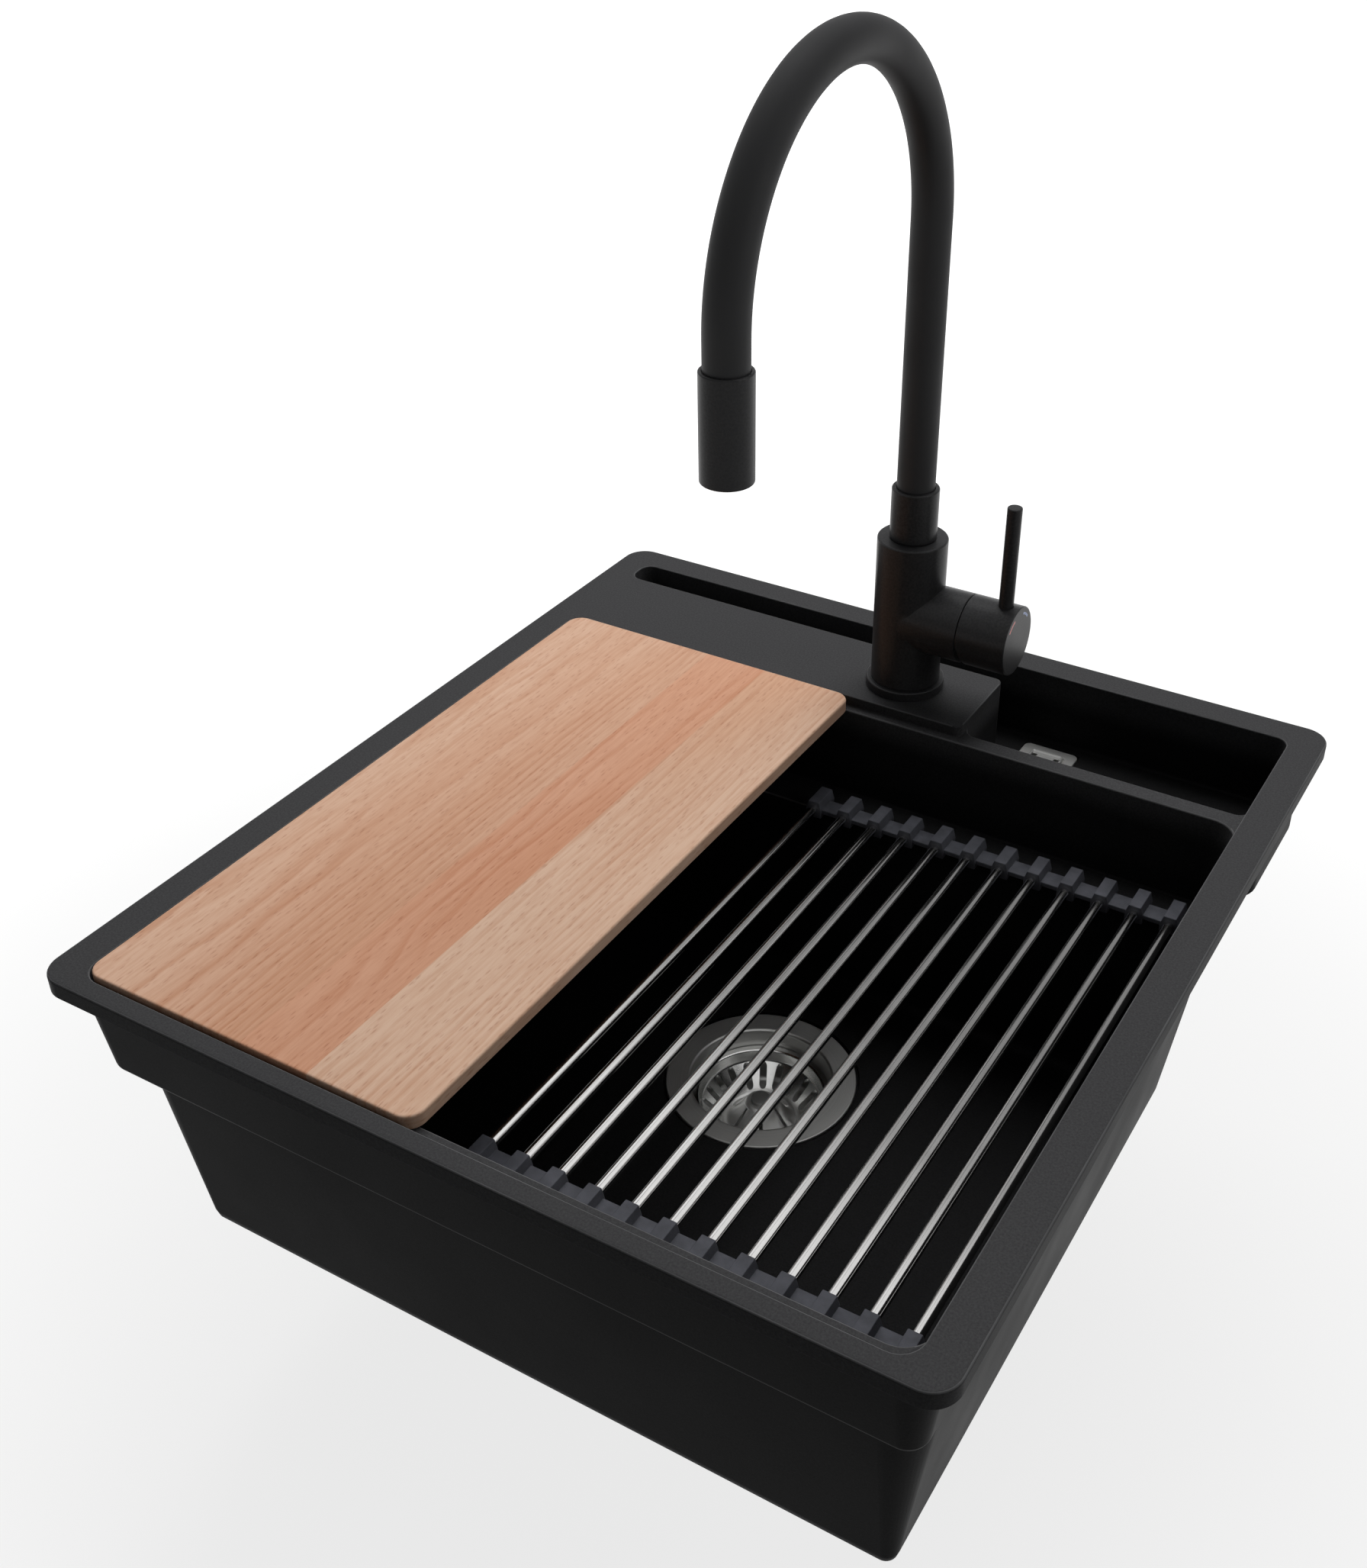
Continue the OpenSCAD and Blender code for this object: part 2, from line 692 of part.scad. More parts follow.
module drain_top_seal() color("#26262a") at_drain() translate([0, 0, -seat_depth])
    tube(top_seal, flange_d / 2 - 1.5, cup_out_r + through_gap);

module drain_lower_seal() color("#26262a") translate([0, drain_y, waste_nut_top])
    tube(lower_seal, cup_out_r + waste_nut_ring, cup_out_r + through_gap);

module drain_nut() color("#e4e4e2") translate([0, drain_y, waste_nut_top - waste_nut_height]) difference() {
    union() {
        cylinder(waste_nut_height, cup_out_r + waste_nut_ring, cup_out_r + waste_nut_ring);
        for (a = [0:45:315]) rotate(a) translate([cup_out_r + waste_nut_ring - 1, 0, 0])
            cylinder(waste_nut_height, 5.5, 5.5);
    }
    translate([0, 0, -cut]) cylinder(waste_nut_height + 2 * cut, cup_out_r + thread_fit, cup_out_r + thread_fit);
}

module tailpiece() color("#b9b9b8") translate([0, drain_y, 0]) {
    length = tail_lip + tail_flange + tailpiece_length;
    translate([0, 0, outlet_z - length]) tube(length, tail_r, tail_r - tailpiece_wall);
    translate([0, 0, outlet_z - tail_flange - tail_lip]) tube(tail_flange + tail_lip, tail_neck_r, tail_r - 0.5);
    translate([0, 0, outlet_z - tail_flange]) tube(tail_flange, outlet_out_r - 0.2, tail_r - tailpiece_wall);
}

module tailpiece_nut() color("#e4e4e2") translate([0, drain_y, outlet_z - tail_flange - tail_lip]) difference() {
    cylinder(tail_nut_height, outlet_out_r + tail_nut_wall, outlet_out_r + tail_nut_wall, $fn = 8);
    translate([0, 0, -cut]) cylinder(tail_nut_height + 2 * cut, tail_neck_r + thread_fit, tail_neck_r + thread_fit);
    translate([0, 0, tail_lip]) cylinder(tail_nut_height, outlet_out_r + thread_fit, outlet_out_r + thread_fit);
}

// A round-ended slot, drawn outwards along x
module oval_slot(length, width, height) {
    for (z = [width / 2, height - width / 2]) translate([0, 0, z]) rotate([0, 90, 0]) cylinder(length, width / 2, width / 2);
    translate([0, -width / 2, width / 2]) cube([length, width, height - width]);
}

// The pressed basket: a rim that lies on the cup's step, a slotted wall and a flat floor
module basket_cup() {
    s = basket_sheet;
    difference() {
        rotate_extrude() polygon([
            [cup_r - rest_gap, -basket_rim_high], [cup_r - rest_gap, -basket_rim_low],
            [basket_side_r, -basket_rim_low], [basket_side_r, -basket_rim_low - 3],
            [basket_floor_r + s, -basket_bottom + 1], [basket_floor_r + s - 1, -basket_bottom],
            [disc_d / 2, -basket_bottom], [disc_d / 2, -basket_bottom + s], [basket_floor_r - 1, -basket_bottom + s],
            [basket_side_r - s, -basket_rim_low - 3], [basket_side_r - s, -basket_rim_high]
        ]);
        for (i = [0:basket_slots - 1]) rotate(i * 360 / basket_slots)
            translate([basket_floor_r - 4, 0, -basket_bottom + 3]) oval_slot(15, slot_open, basket_bottom - basket_rim_low - 7);
        for (i = [0:petals - 1]) rotate((i + 0.5) * 360 / petals)
            translate([petal_r - 1, 0, -basket_bottom - cut]) cylinder(basket_sheet + 2 * cut, 2.6, 2.6);
    }
}

// The raised centre: a bell of sheet cut into petals, with a bored crown for the post
module basket_petals() {
    s = basket_sheet;
    low = -basket_bottom + s;
    top = -hub_top;
    rise = top - low;
    difference() {
        rotate_extrude() polygon([
            [post_d / 2 + seat_fit, top], [hub_r, top], [hub_r + 3, top - rise * 0.12], [petal_r * 0.62, top - rise * 0.5],
            [petal_r * 0.86, low + rise * 0.12], [petal_r, low],
            [petal_r - 2, low], [petal_r * 0.86 - s - 1, low + rise * 0.1], [petal_r * 0.62 - s - 1, top - rise * 0.56],
            [hub_r + 2, top - rise * 0.12 - s], [hub_r, top - s], [post_d / 2 + seat_fit, top - s]
        ]);
        for (i = [0:petals - 1]) rotate((i + 0.5) * 360 / petals)
            translate([hub_r + 2, 0, low - cut]) linear_extrude(rise + 2 * cut)
                polygon([[0, -0.8], [petal_r, -petal_r * 0.26], [petal_r, petal_r * 0.26], [0, 0.8]]);
    }
}

module basket() color("#cfcfcf") at_drain() {
    basket_cup();
    basket_petals();
}

module basket_post() color("#d6d6d6") at_drain() {
    translate([0, 0, -hub_top]) cylinder(disc_thickness, disc_d / 2, disc_d / 2);
    translate([0, 0, -basket_bottom - 4]) cylinder(basket_bottom + 4 - hub_top, post_d / 2, post_d / 2);
}

module basket_stopper() color("#26262a") at_drain() translate([0, 0, -basket_bottom - 3.5])
    tube(3.5, stopper_d / 2, post_d / 2 + seat_fit);

// ---------------------------------------------------------------- tray drain

module soft_square(side, r) rounded([-side / 2, side / 2, -side / 2, side / 2], r);

module tray_drain_body() color("#2b2b2c") at_tray_drain() {
    plate_z = tray_z + frame_proud - frame_thickness;
    difference() {
        union() {
            translate([0, 0, plate_z]) linear_extrude(frame_thickness) soft_square(tray_frame, 4);
            translate([0, 0, tray_nut_z - 1])
                cylinder(plate_z - tray_nut_z + 1, spigot_d / 2, spigot_d / 2);
            translate([0, 0, tray_base_z - spigot_length])
                cylinder(spigot_length, spigot_tail_d / 2, spigot_tail_d / 2);
        }
        translate([0, 0, plate_z + frame_thickness - pocket_depth])
            linear_extrude(pocket_depth + cut) soft_square(tray_cover + 2 * tray_cover_slot, cover_r + tray_cover_slot);
        translate([0, 0, tray_base_z - spigot_length - cut])
            cylinder(tray_wall + spigot_length + 2 * cut, spigot_tail_d / 2 - spigot_wall, spigot_tail_d / 2 - spigot_wall);
    }
}

module tray_drain_seal() color("#26262a") at_tray_drain() translate([0, 0, tray_base_z - tray_seal])
    tube(tray_seal, spigot_d / 2 + 6, spigot_d / 2 + thread_fit);

module tray_drain_nut() color("#e4e4e2") at_tray_drain()
    translate([0, 0, tray_nut_z]) difference() {
        cylinder(tray_nut_height, spigot_d / 2 + 7, spigot_d / 2 + 7, $fn = 6);
        translate([0, 0, -cut]) cylinder(tray_nut_height + 2 * cut, spigot_d / 2 + thread_fit, spigot_d / 2 + thread_fit);
    }

// The raised pad stands on four feet, so that water runs in round it
module tray_drain_cover() color("#2b2b2c") at_tray_drain() {
    foot_z = tray_z + frame_proud - pocket_depth + rest_gap;
    foot_at = tray_cover / 2 - 1.8;
    for (x = [-1, 1], y = [-1, 1]) translate([x * foot_at, y * foot_at, foot_z]) cylinder(cover_foot + 0.2, 1.2, 1.2);
    translate([0, 0, foot_z + cover_foot]) linear_extrude(cover_thickness) difference() {
        soft_square(tray_cover, cover_r);
        for (x = [-1, 1]) translate([x * tray_cover * 0.21, tray_cover * 0.18]) square(cover_hole, center = true);
    }
}

// ---------------------------------------------------------------- tap, fixed pieces

module tap_base_ring() color("#1f1f20") at_tap() translate([0, 0, rim_top]) difference() {
    union() {
        cylinder(base_height - 0.8, base_d / 2, base_d / 2);
        translate([0, 0, base_height - 0.8]) cylinder(0.8, base_d / 2, base_d / 2 - 0.8);
    }
    translate([0, 0, -cut]) cylinder(base_height + 2 * cut, shank_r + seat_fit, shank_r + seat_fit);
}

module tap_body() color("#1f1f20") at_tap() difference() {
    union() {
        translate([0, 0, base_top]) cylinder(body_top - base_top - 0.6, body_r, body_r);
        translate([0, 0, body_top - 0.6]) cylinder(0.6, body_r, body_r - 0.6);
        translate([0, 0, branch_z]) rotate([0, 90, 0]) cylinder(branch_length, body_r, body_r);
    }
    translate([0, 0, base_top - cut]) cylinder(shank_grip + cut, shank_r + thread_fit, shank_r + thread_fit);
    translate([0, 0, base_top]) cylinder(body_top - base_top, water_r, water_r);
    translate([0, 0, body_top - spigot_depth - cut]) cylinder(spigot_depth + 2 * cut, spigot_r + running_fit, spigot_r + running_fit);
    translate([branch_length - cartridge_back, 0, branch_z]) rotate([0, 90, 0])
        cylinder(cartridge_back + cut, cartridge_r + seat_fit, cartridge_r + seat_fit);
}

module tap_shank() color("#b08d4f") at_tap() translate([0, 0, -shank_length])
    tube(shank_length + base_top + shank_grip - 0.5, shank_r, shank_bore_r);

module tap_washer() color("#26262a") at_tap() translate([0, 0, -washer_thickness])
    tube(washer_thickness, washer_r, shank_r + seat_fit);

module tap_nut() color("#b08d4f") at_tap() translate([0, 0, -washer_thickness - shank_nut_height]) difference() {
    cylinder(shank_nut_height, nut_r, nut_r, $fn = 6);
    translate([0, 0, -cut]) cylinder(shank_nut_height + 2 * cut, shank_r + thread_fit, shank_r + thread_fit);
}

module inlet_plug() color("#b08d4f") at_tap() translate([0, 0, -shank_length]) difference() {
    cylinder(plug_height, shank_bore_r - seat_fit, shank_bore_r - seat_fit);
    for (x = [-nipple_x, nipple_x]) translate([x, 0, -cut])
        cylinder(plug_height + 2 * cut, nipple_root_r + seat_fit, nipple_root_r + seat_fit);
}

module inlet_nipples() color("#b08d4f") at_tap() for (x = [-nipple_x, nipple_x]) translate([x, 0, -shank_length]) {
    translate([0, 0, -nipple_length]) tube(nipple_length, nipple_r, nipple_bore_r);
    translate([0, 0, -1]) tube(plug_height + 1, nipple_root_r, nipple_bore_r);
}

module cartridge_housing() color("#dfe3e6") at_branch() difference() {
    union() {
        translate([0, 0, branch_length - cartridge_back])
            cylinder(cartridge_back - neck_length, cartridge_r, cartridge_r);
        translate([0, 0, branch_length - neck_length - cut]) cylinder(neck_length + cut, neck_r, neck_r);
    }
    translate([0, 0, branch_length - carrier_back - rest_gap])
        cylinder(carrier_back + cut, carrier_r + running_fit, carrier_r + running_fit);
}

module cartridge_nut() color("#b08d4f") at_branch() translate([0, 0, branch_length - neck_length])
    tube(neck_length - rest_gap, cartridge_r, neck_r + seat_fit);

// ---------------------------------------------------------------- lever

// The turning core: its slot lets the stem tilt up and down on a cross bore
module cartridge_carrier() color("#7f8c99") at_branch() difference() {
    translate([0, 0, branch_length - carrier_back]) cylinder(carrier_back - rest_gap, carrier_r, carrier_r);
    translate([-stem_side * 0.86, -stem_side / 2 - running_fit * 2, tilt_x - stem_side / 2 - 1.5])
        cube([stem_side * 1.72, stem_side + running_fit * 4, carrier_back]);
    translate([0, carrier_r + cut, tilt_x]) rotate([90, 0, 0])
        cylinder(2 * carrier_r + 2 * cut, trunnion_r + running_fit, trunnion_r + running_fit);
}

module lever_stem() color("#b9b9b8") at_branch() {
    rear = tilt_x - stem_side / 2;
    translate([-stem_side / 2, -stem_side / 2, rear])
        cube([stem_side, stem_side, cap_x + cap_cavity + stem_reach - rear]);
    translate([0, carrier_r - 0.5, tilt_x]) rotate([90, 0, 0]) cylinder(2 * carrier_r - 1, trunnion_r, trunnion_r);
}

// The cap is cut away in a wedge below its middle, so that it can tilt outwards
module lever_cap() color("#1f1f20") at_branch() difference() {
    union() {
        translate([0, 0, cap_x]) cylinder(cap_length - 0.6, body_r, body_r);
        translate([0, 0, cap_end - 0.6]) cylinder(0.6, body_r, body_r - 0.6);
    }
    translate([0, 0, cap_x - cut]) cylinder(cap_cavity + cut, body_r - cap_wall, body_r - cap_wall);
    translate([-body_r - cut, body_r + cut, cap_x]) rotate([90, 0, 0]) linear_extrude(body_d + 2 * cut)
        polygon([[0, -cut], [body_r + cut, -cut], [body_r + cut, 0], [0, cap_wedge * (body_r + cut) / body_r]]);
    translate([-stem_side / 2 - seat_fit, -stem_side / 2 - seat_fit, cap_x])
        cube([stem_side + 2 * seat_fit, stem_side + 2 * seat_fit, cap_cavity + stem_reach + 0.3]);
    translate([body_r - lever_seat, 0, lever_x]) rotate([0, 90, 0])
        cylinder(lever_seat + cut, lever_d / 2 + seat_fit, lever_d / 2 + seat_fit);
    translate([-body_r - cut, 0, cap_x + cap_cavity + stem_reach / 2]) rotate([0, 90, 0])
        cylinder(body_r + cut, screw_r + seat_fit, screw_r + seat_fit);
    translate([0, 0, cap_end - mark_depth]) linear_extrude(mark_depth + cut) mark_plan();
}

module lever_rod() color("#1f1f20") at_branch() translate([body_r - lever_seat, 0, lever_x]) rotate([0, 90, 0])
    union() {
        cylinder(rim_top + lever_tip - branch_z - body_r + lever_seat - 0.5, lever_d / 2, lever_d / 2);
        translate([0, 0, rim_top + lever_tip - branch_z - body_r + lever_seat - 0.5])
            cylinder(0.5, lever_d / 2, lever_d / 2 - 0.5);
    }

module lever_screw() color("#555555") at_branch() difference() {
    translate([-stem_side / 2 - 8, 0, cap_x + cap_cavity + stem_reach / 2]) rotate([0, 90, 0]) cylinder(8, screw_r, screw_r);
    translate([-stem_side / 2 - 8 - cut, 0, cap_x + cap_cavity + stem_reach / 2]) rotate([0, 90, 0])
        cylinder(3, 1.4, 1.4, $fn = 6);
}

// Two short arcs near the edge of the cap's end: one towards the front, one towards the rear
module mark_plan() for (side = [-1, 1]) intersection() {
    difference() {
        circle(mark_r + mark_width / 2);
        circle(mark_r - mark_width / 2);
    }
    rotate(side * mark_angle) polygon([
        [0, 0], [2 * mark_r * cos(mark_span / 2), -2 * mark_r * sin(mark_span / 2)],
        [2 * mark_r * cos(mark_span / 2), 2 * mark_r * sin(mark_span / 2)]
    ]);
}

module temperature_marks() color("#c8453c") at_branch()
    translate([0, 0, cap_end - mark_depth]) linear_extrude(mark_depth) mark_plan();

// ---------------------------------------------------------------- spout

// A round bar or bore of radius r along the bent hose, from the collar to the nozzle
module hose_path(r, run_in, run_out) at_tap() {
    translate([0, 0, ring_top - run_in]) cylinder(crown_z - ring_top + run_in, r, r);
    translate([0, -crown, crown_z]) rotate([90, 0, 90]) rotate_extrude(angle = 180)
        translate([crown, 0]) circle(r, $fn = 48);
    translate([0, -spout_reach, nozzle_top - run_out]) cylinder(crown_z - nozzle_top + run_out, r, r);
}

module spout_collar() color("#1f1f20") at_tap() difference() {
    union() {
        translate([0, 0, body_top + collar_gap]) cylinder(ring_top - body_top - collar_gap - 1, ring_r, ring_r);
        translate([0, 0, ring_top - 1]) cylinder(1, ring_r, ring_r - 1);
        translate([0, 0, body_top - spigot_depth]) cylinder(spigot_depth + 1, spigot_r, spigot_r);
    }
    translate([0, 0, body_top - spigot_depth - cut]) cylinder(ring_top - body_top + spigot_depth + 2 * cut, tube_r + seat_fit, tube_r + seat_fit);
    translate([0, 0, ring_top - socket_depth]) cylinder(socket_depth + cut, hose_r + seat_fit, hose_r + seat_fit);
}

module hose_sleeve() color("#1c1c1d") difference() {
    hose_path(hose_r, socket_depth, socket_depth);
    hose_path(hose_r - sleeve_wall, socket_depth + cut, socket_depth + cut);
}

module hose_tube() color("#d8d8d4") difference() {
    hose_path(tube_r, 2 * socket_depth, 2 * socket_depth);
    hose_path(tube_r - tube_wall, 2 * socket_depth + cut, 2 * socket_depth + cut);
}

module nozzle_shell() color("#1f1f20") at_tap() translate([0, -spout_reach, nozzle_low]) difference() {
    union() {
        cylinder(0.8, nozzle_r - 0.8, nozzle_r);
        translate([0, 0, 0.8]) cylinder(nozzle_length - 1.6, nozzle_r, nozzle_r);
        translate([0, 0, nozzle_length - 0.8]) cylinder(0.8, nozzle_r, nozzle_r - 0.8);
    }
    translate([0, 0, nozzle_length - socket_depth]) cylinder(socket_depth + cut, hose_r + seat_fit, hose_r + seat_fit);
    translate([0, 0, -cut]) cylinder(nozzle_length + 2 * cut, tube_r + seat_fit, tube_r + seat_fit);
    translate([0, 0, -cut]) cylinder(aerator_height + 1 + cut, aerator_r + seat_fit, aerator_r + seat_fit);
}

module aerator() color("#6d6d70") at_tap() translate([0, -spout_reach, nozzle_low + 1]) difference() {
    cylinder(aerator_height, aerator_r, aerator_r);
    translate([0, 0, 3]) cylinder(aerator_height, aerator_r - 2, aerator_r - 2);
    for (ring = [[0, 1], [3.6, 6], [7, 12]]) for (i = [0:ring[1] - 1])
        rotate(i * 360 / ring[1]) translate([ring[0], 0, -cut]) cylinder(3 + 2 * cut, 1.1, 1.1, $fn = 24);
}

sink_body();
rim_seal();
cutting_board();
rack_rod_01();
rack_rod_02();
rack_rod_03();
rack_rod_04();
rack_rod_05();
rack_rod_06();
rack_rod_07();
rack_rod_08();
rack_rod_09();
rack_rod_10();
rack_rod_11();
rack_rod_12();
rack_grip_01();
rack_grip_02();
rack_grip_03();
rack_grip_04();
rack_grip_05();
rack_grip_06();
rack_grip_07();
rack_grip_08();
rack_grip_09();
rack_grip_10();
rack_grip_11();
rack_grip_12();
drain_flange();
drain_top_seal();
drain_lower_seal();
drain_nut();
tailpiece();
tailpiece_nut();
basket();
basket_post();
basket_stopper();
tray_drain_body();
tray_drain_seal();
tray_drain_nut();
tray_drain_cover();
tap_base_ring();
tap_body();
tap_shank();
tap_washer();
tap_nut();
inlet_plug();
inlet_nipples();
cartridge_housing();
cartridge_nut();
cartridge_carrier();
lever_stem();
lever_cap();
lever_rod();
lever_screw();
temperature_marks();
spout_collar();
hose_sleeve();
hose_tube();
nozzle_shell();
aerator();
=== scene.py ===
import math
from functools import partial

import bmesh
import bpy
import numpy as np
from mathutils import Matrix, Vector


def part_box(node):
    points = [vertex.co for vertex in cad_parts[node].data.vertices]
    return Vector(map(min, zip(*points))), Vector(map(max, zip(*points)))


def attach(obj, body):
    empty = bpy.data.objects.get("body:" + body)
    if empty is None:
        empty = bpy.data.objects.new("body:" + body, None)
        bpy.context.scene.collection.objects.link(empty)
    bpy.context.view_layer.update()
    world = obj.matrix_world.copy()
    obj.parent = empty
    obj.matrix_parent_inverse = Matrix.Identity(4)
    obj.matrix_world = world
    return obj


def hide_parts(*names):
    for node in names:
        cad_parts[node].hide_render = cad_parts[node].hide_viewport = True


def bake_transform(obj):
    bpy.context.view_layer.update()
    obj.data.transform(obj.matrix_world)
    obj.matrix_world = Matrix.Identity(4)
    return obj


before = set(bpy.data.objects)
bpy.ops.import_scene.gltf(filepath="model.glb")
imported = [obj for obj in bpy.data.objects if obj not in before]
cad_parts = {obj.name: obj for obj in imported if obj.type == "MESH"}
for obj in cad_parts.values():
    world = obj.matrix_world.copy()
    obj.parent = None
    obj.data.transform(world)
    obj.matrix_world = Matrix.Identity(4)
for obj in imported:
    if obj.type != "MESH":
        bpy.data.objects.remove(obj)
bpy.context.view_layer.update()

# ---- camera
# The view of the photograph: from the front right corner, looking down into the bowl. Place, turn,
# lens and shift were solved from the straight edges of the rim.
right = Vector((0.8634, 0.5045, 0.0006)).normalized()
ahead = Vector((-0.42058, 0.72044, -0.55144)).normalized()
above = right.cross(ahead)
eye = (0.39641, -0.68041, 0.58007)
lens = bpy.data.cameras.new("photo_view")
lens.lens, lens.sensor_width, lens.shift_x, lens.shift_y = 40.516, 36.0, -0.0385, -0.0107
lens.clip_start, lens.clip_end = 0.05, 60.0
camera = bpy.data.objects.new("photo_view", lens)
camera.matrix_world = Matrix.Translation(eye) @ Matrix((right, above, -ahead)).transposed().to_4x4()
bpy.context.scene.collection.objects.link(camera)
bpy.context.scene.camera = camera
bpy.context.scene.view_settings.view_transform = "Standard"


# ---- studio
# A pale floor under the lowest pipe, a wide soft lamp over the rear edge and three smaller ones.
# The floor is white to the camera, to metal and to glass, and keeps the shadow of the sink.
def linear(hex_colour):
    """An sRGB hex colour as linear RGBA: v / 12.92 up to 0.04045, ((v + 0.055) / 1.055)^2.4 above."""
    v = np.array([int(hex_colour[i:i + 2], 16) for i in (1, 3, 5)]) / 255
    return (*np.where(v <= 0.04045, v / 12.92, ((v + 0.055) / 1.055) ** 2.4).tolist(), 1.0)


def add(tree, kind, inputs=None, stops=(), limits=(), **settings):
    """Adds one node. Its inputs are values, sockets, or nodes, whose first output is taken; stops fill a
    ramp; limits are the two from and the two to values of a MapRange; settings go on the node itself.
    A Mix of colours has its colours at 6 and 7 and its result at the output 2.
    """
    made = tree.nodes.new("ShaderNode" + kind)
    for name, value in settings.items():
        setattr(made, name, value)
    for key, value in (inputs or {}).items():
        if isinstance(value, bpy.types.Node):
            value = value.outputs[0]
        if isinstance(value, bpy.types.NodeSocket):
            tree.links.new(value, made.inputs[key])
        else:
            made.inputs[key].default_value = value
    for k, value in enumerate(limits, 1):
        made.inputs[k].default_value = value
    for k, (place, colour) in enumerate(stops):
        stop = made.color_ramp.elements[k] if k < 2 else made.color_ramp.elements.new(place)
        stop.position, stop.color = place, linear(colour)
    return made


def material(name):
    """A new material, a maker of nodes in its empty tree, and the coordinates of its object."""
    made = bpy.data.materials.new(name)
    made.use_nodes = True
    made.node_tree.nodes.clear()
    node = partial(add, made.node_tree)
    return made, node, node("TexCoord").outputs["Object"]


def shown(node):
    """The Light Path node, and 1 where the camera, metal or glass sees the surface, 0 where it lights."""
    ray = node("LightPath")
    seen = node("Math", {0: ray.outputs["Is Camera Ray"], 1: ray.outputs["Is Glossy Ray"]},
                operation="MAXIMUM")
    return ray, node("Math", {0: seen, 1: ray.outputs["Is Transmission Ray"]}, operation="MAXIMUM")


# Painted studio floor: matt and white. Round the sink 0.6 of what is seen is its own light, so that
# it stays white and still shows the soft shadow; from 1.5 m out it is its own light alone.
floor_paint, node, at = material("studio_floor_paint")
ray, seen = shown(node)
away = node("VectorMath", {0: at}, operation="LENGTH")
away = node("MapRange", {"Value": away.outputs["Value"]}, limits=(0.35, 1.5, 0.6, 1.0),
            interpolation_type="SMOOTHSTEP")
share = node("Math", {0: seen, 1: away}, operation="MULTIPLY")
paint = node("BsdfDiffuse", {"Color": linear("#828281")})
glow = node("Emission", {"Color": linear("#ffffff"), "Strength": 1.34})
both = node("MixShader", {0: share, 1: paint, 2: glow})
# From below the floor is clear, so that the underside of the sink can be looked at.
facing = node("NewGeometry")
clear = node("BsdfTransparent", {"Color": linear("#ffffff")})
both = node("MixShader", {0: facing.outputs["Backfacing"], 1: both, 2: clear})
node("OutputMaterial", {"Surface": both})

floor_z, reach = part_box("tailpiece")[0].z - 0.0005, 9
floor_mesh = bpy.data.meshes.new("floor")
floor_mesh.from_pydata([(x * reach, y * reach, floor_z) for x, y in ((-1, -1), (1, -1), (1, 1), (-1, 1))],
                       [], [(0, 1, 2, 3)])
floor_mesh.materials.append(floor_paint)
floor = bpy.data.objects.new("floor", floor_mesh)
bpy.context.scene.collection.objects.link(floor)

world = bpy.data.worlds.new("studio_air")
world.use_nodes = True
world.node_tree.nodes.clear()
node = partial(add, world.node_tree)
ray, seen = shown(node)
# The room is white to the camera. The reflections see it white at the horizon and overhead, and grey
# high up behind the sink, where the studio has no screen.
way = node("TexCoord")
way = node("SeparateXYZ", {0: way.outputs["Generated"]})
low = node("MapRange", {"Value": way.outputs["Z"]}, limits=(0.10, 0.40, 1.0, 0.0),
           interpolation_type="SMOOTHSTEP")
high = node("MapRange", {"Value": way.outputs["Z"]}, limits=(0.30, 0.50, 0.0, 1.0))
near = node("MapRange", {"Value": way.outputs["Y"]}, limits=(0.60, 0.64, 1.0, 0.0))
screen = node("Math", {0: high, 1: near}, operation="MULTIPLY")
screen = node("Math", {0: low, 1: screen}, operation="MAXIMUM")
screen = node("Math", {0: screen, 1: ray.outputs["Is Camera Ray"]}, operation="MAXIMUM")
screen = node("MapRange", {"Value": screen}, limits=(0.0, 1.0, 0.26, 1.0))
room = node("Background", {"Color": linear("#e8e8ea"), "Strength": 0.09})
white = node("Background", {"Color": linear("#ffffff"), "Strength": screen})
both = node("MixShader", {0: seen, 1: room, 2: white})
node("OutputWorld", {"Surface": both})
bpy.context.scene.world = world

# The widest lamp lights the top faces from above the rear edge. It and the one behind are left out of
# the reflections, which show the white room instead; the other two give soft highlights.
for name, place, target, size, watts, mirrored in (
    ("lamp_over_rear", (-0.3, 1.3, 2.3), (0, 0, 0), (2.4, 1.8), 80, False),
    ("lamp_behind", (-1.3, 2.3, 1.9), (0, 0, 0), (1.3, 1.2), 20, False),
    ("lamp_right", (2.3, 0.3, 1.1), (0, 0, 0.05), (1.2, 1.2), 8.5, True),
    ("lamp_front_left", (-1.9, -1.6, 1.5), (0, 0, 0), (1.4, 1.4), 1.5, True),
):
    light = bpy.data.lights.new(name, "AREA")
    light.shape, light.size, light.size_y, light.energy = "RECTANGLE", size[0], size[1], watts
    lamp = bpy.data.objects.new(name, light)
    lamp.location = place
    lamp.visible_glossy = mirrored
    lamp.rotation_euler = (Vector(target) - Vector(place)).to_track_quat("-Z", "Y").to_euler()
    bpy.context.scene.collection.objects.link(lamp)


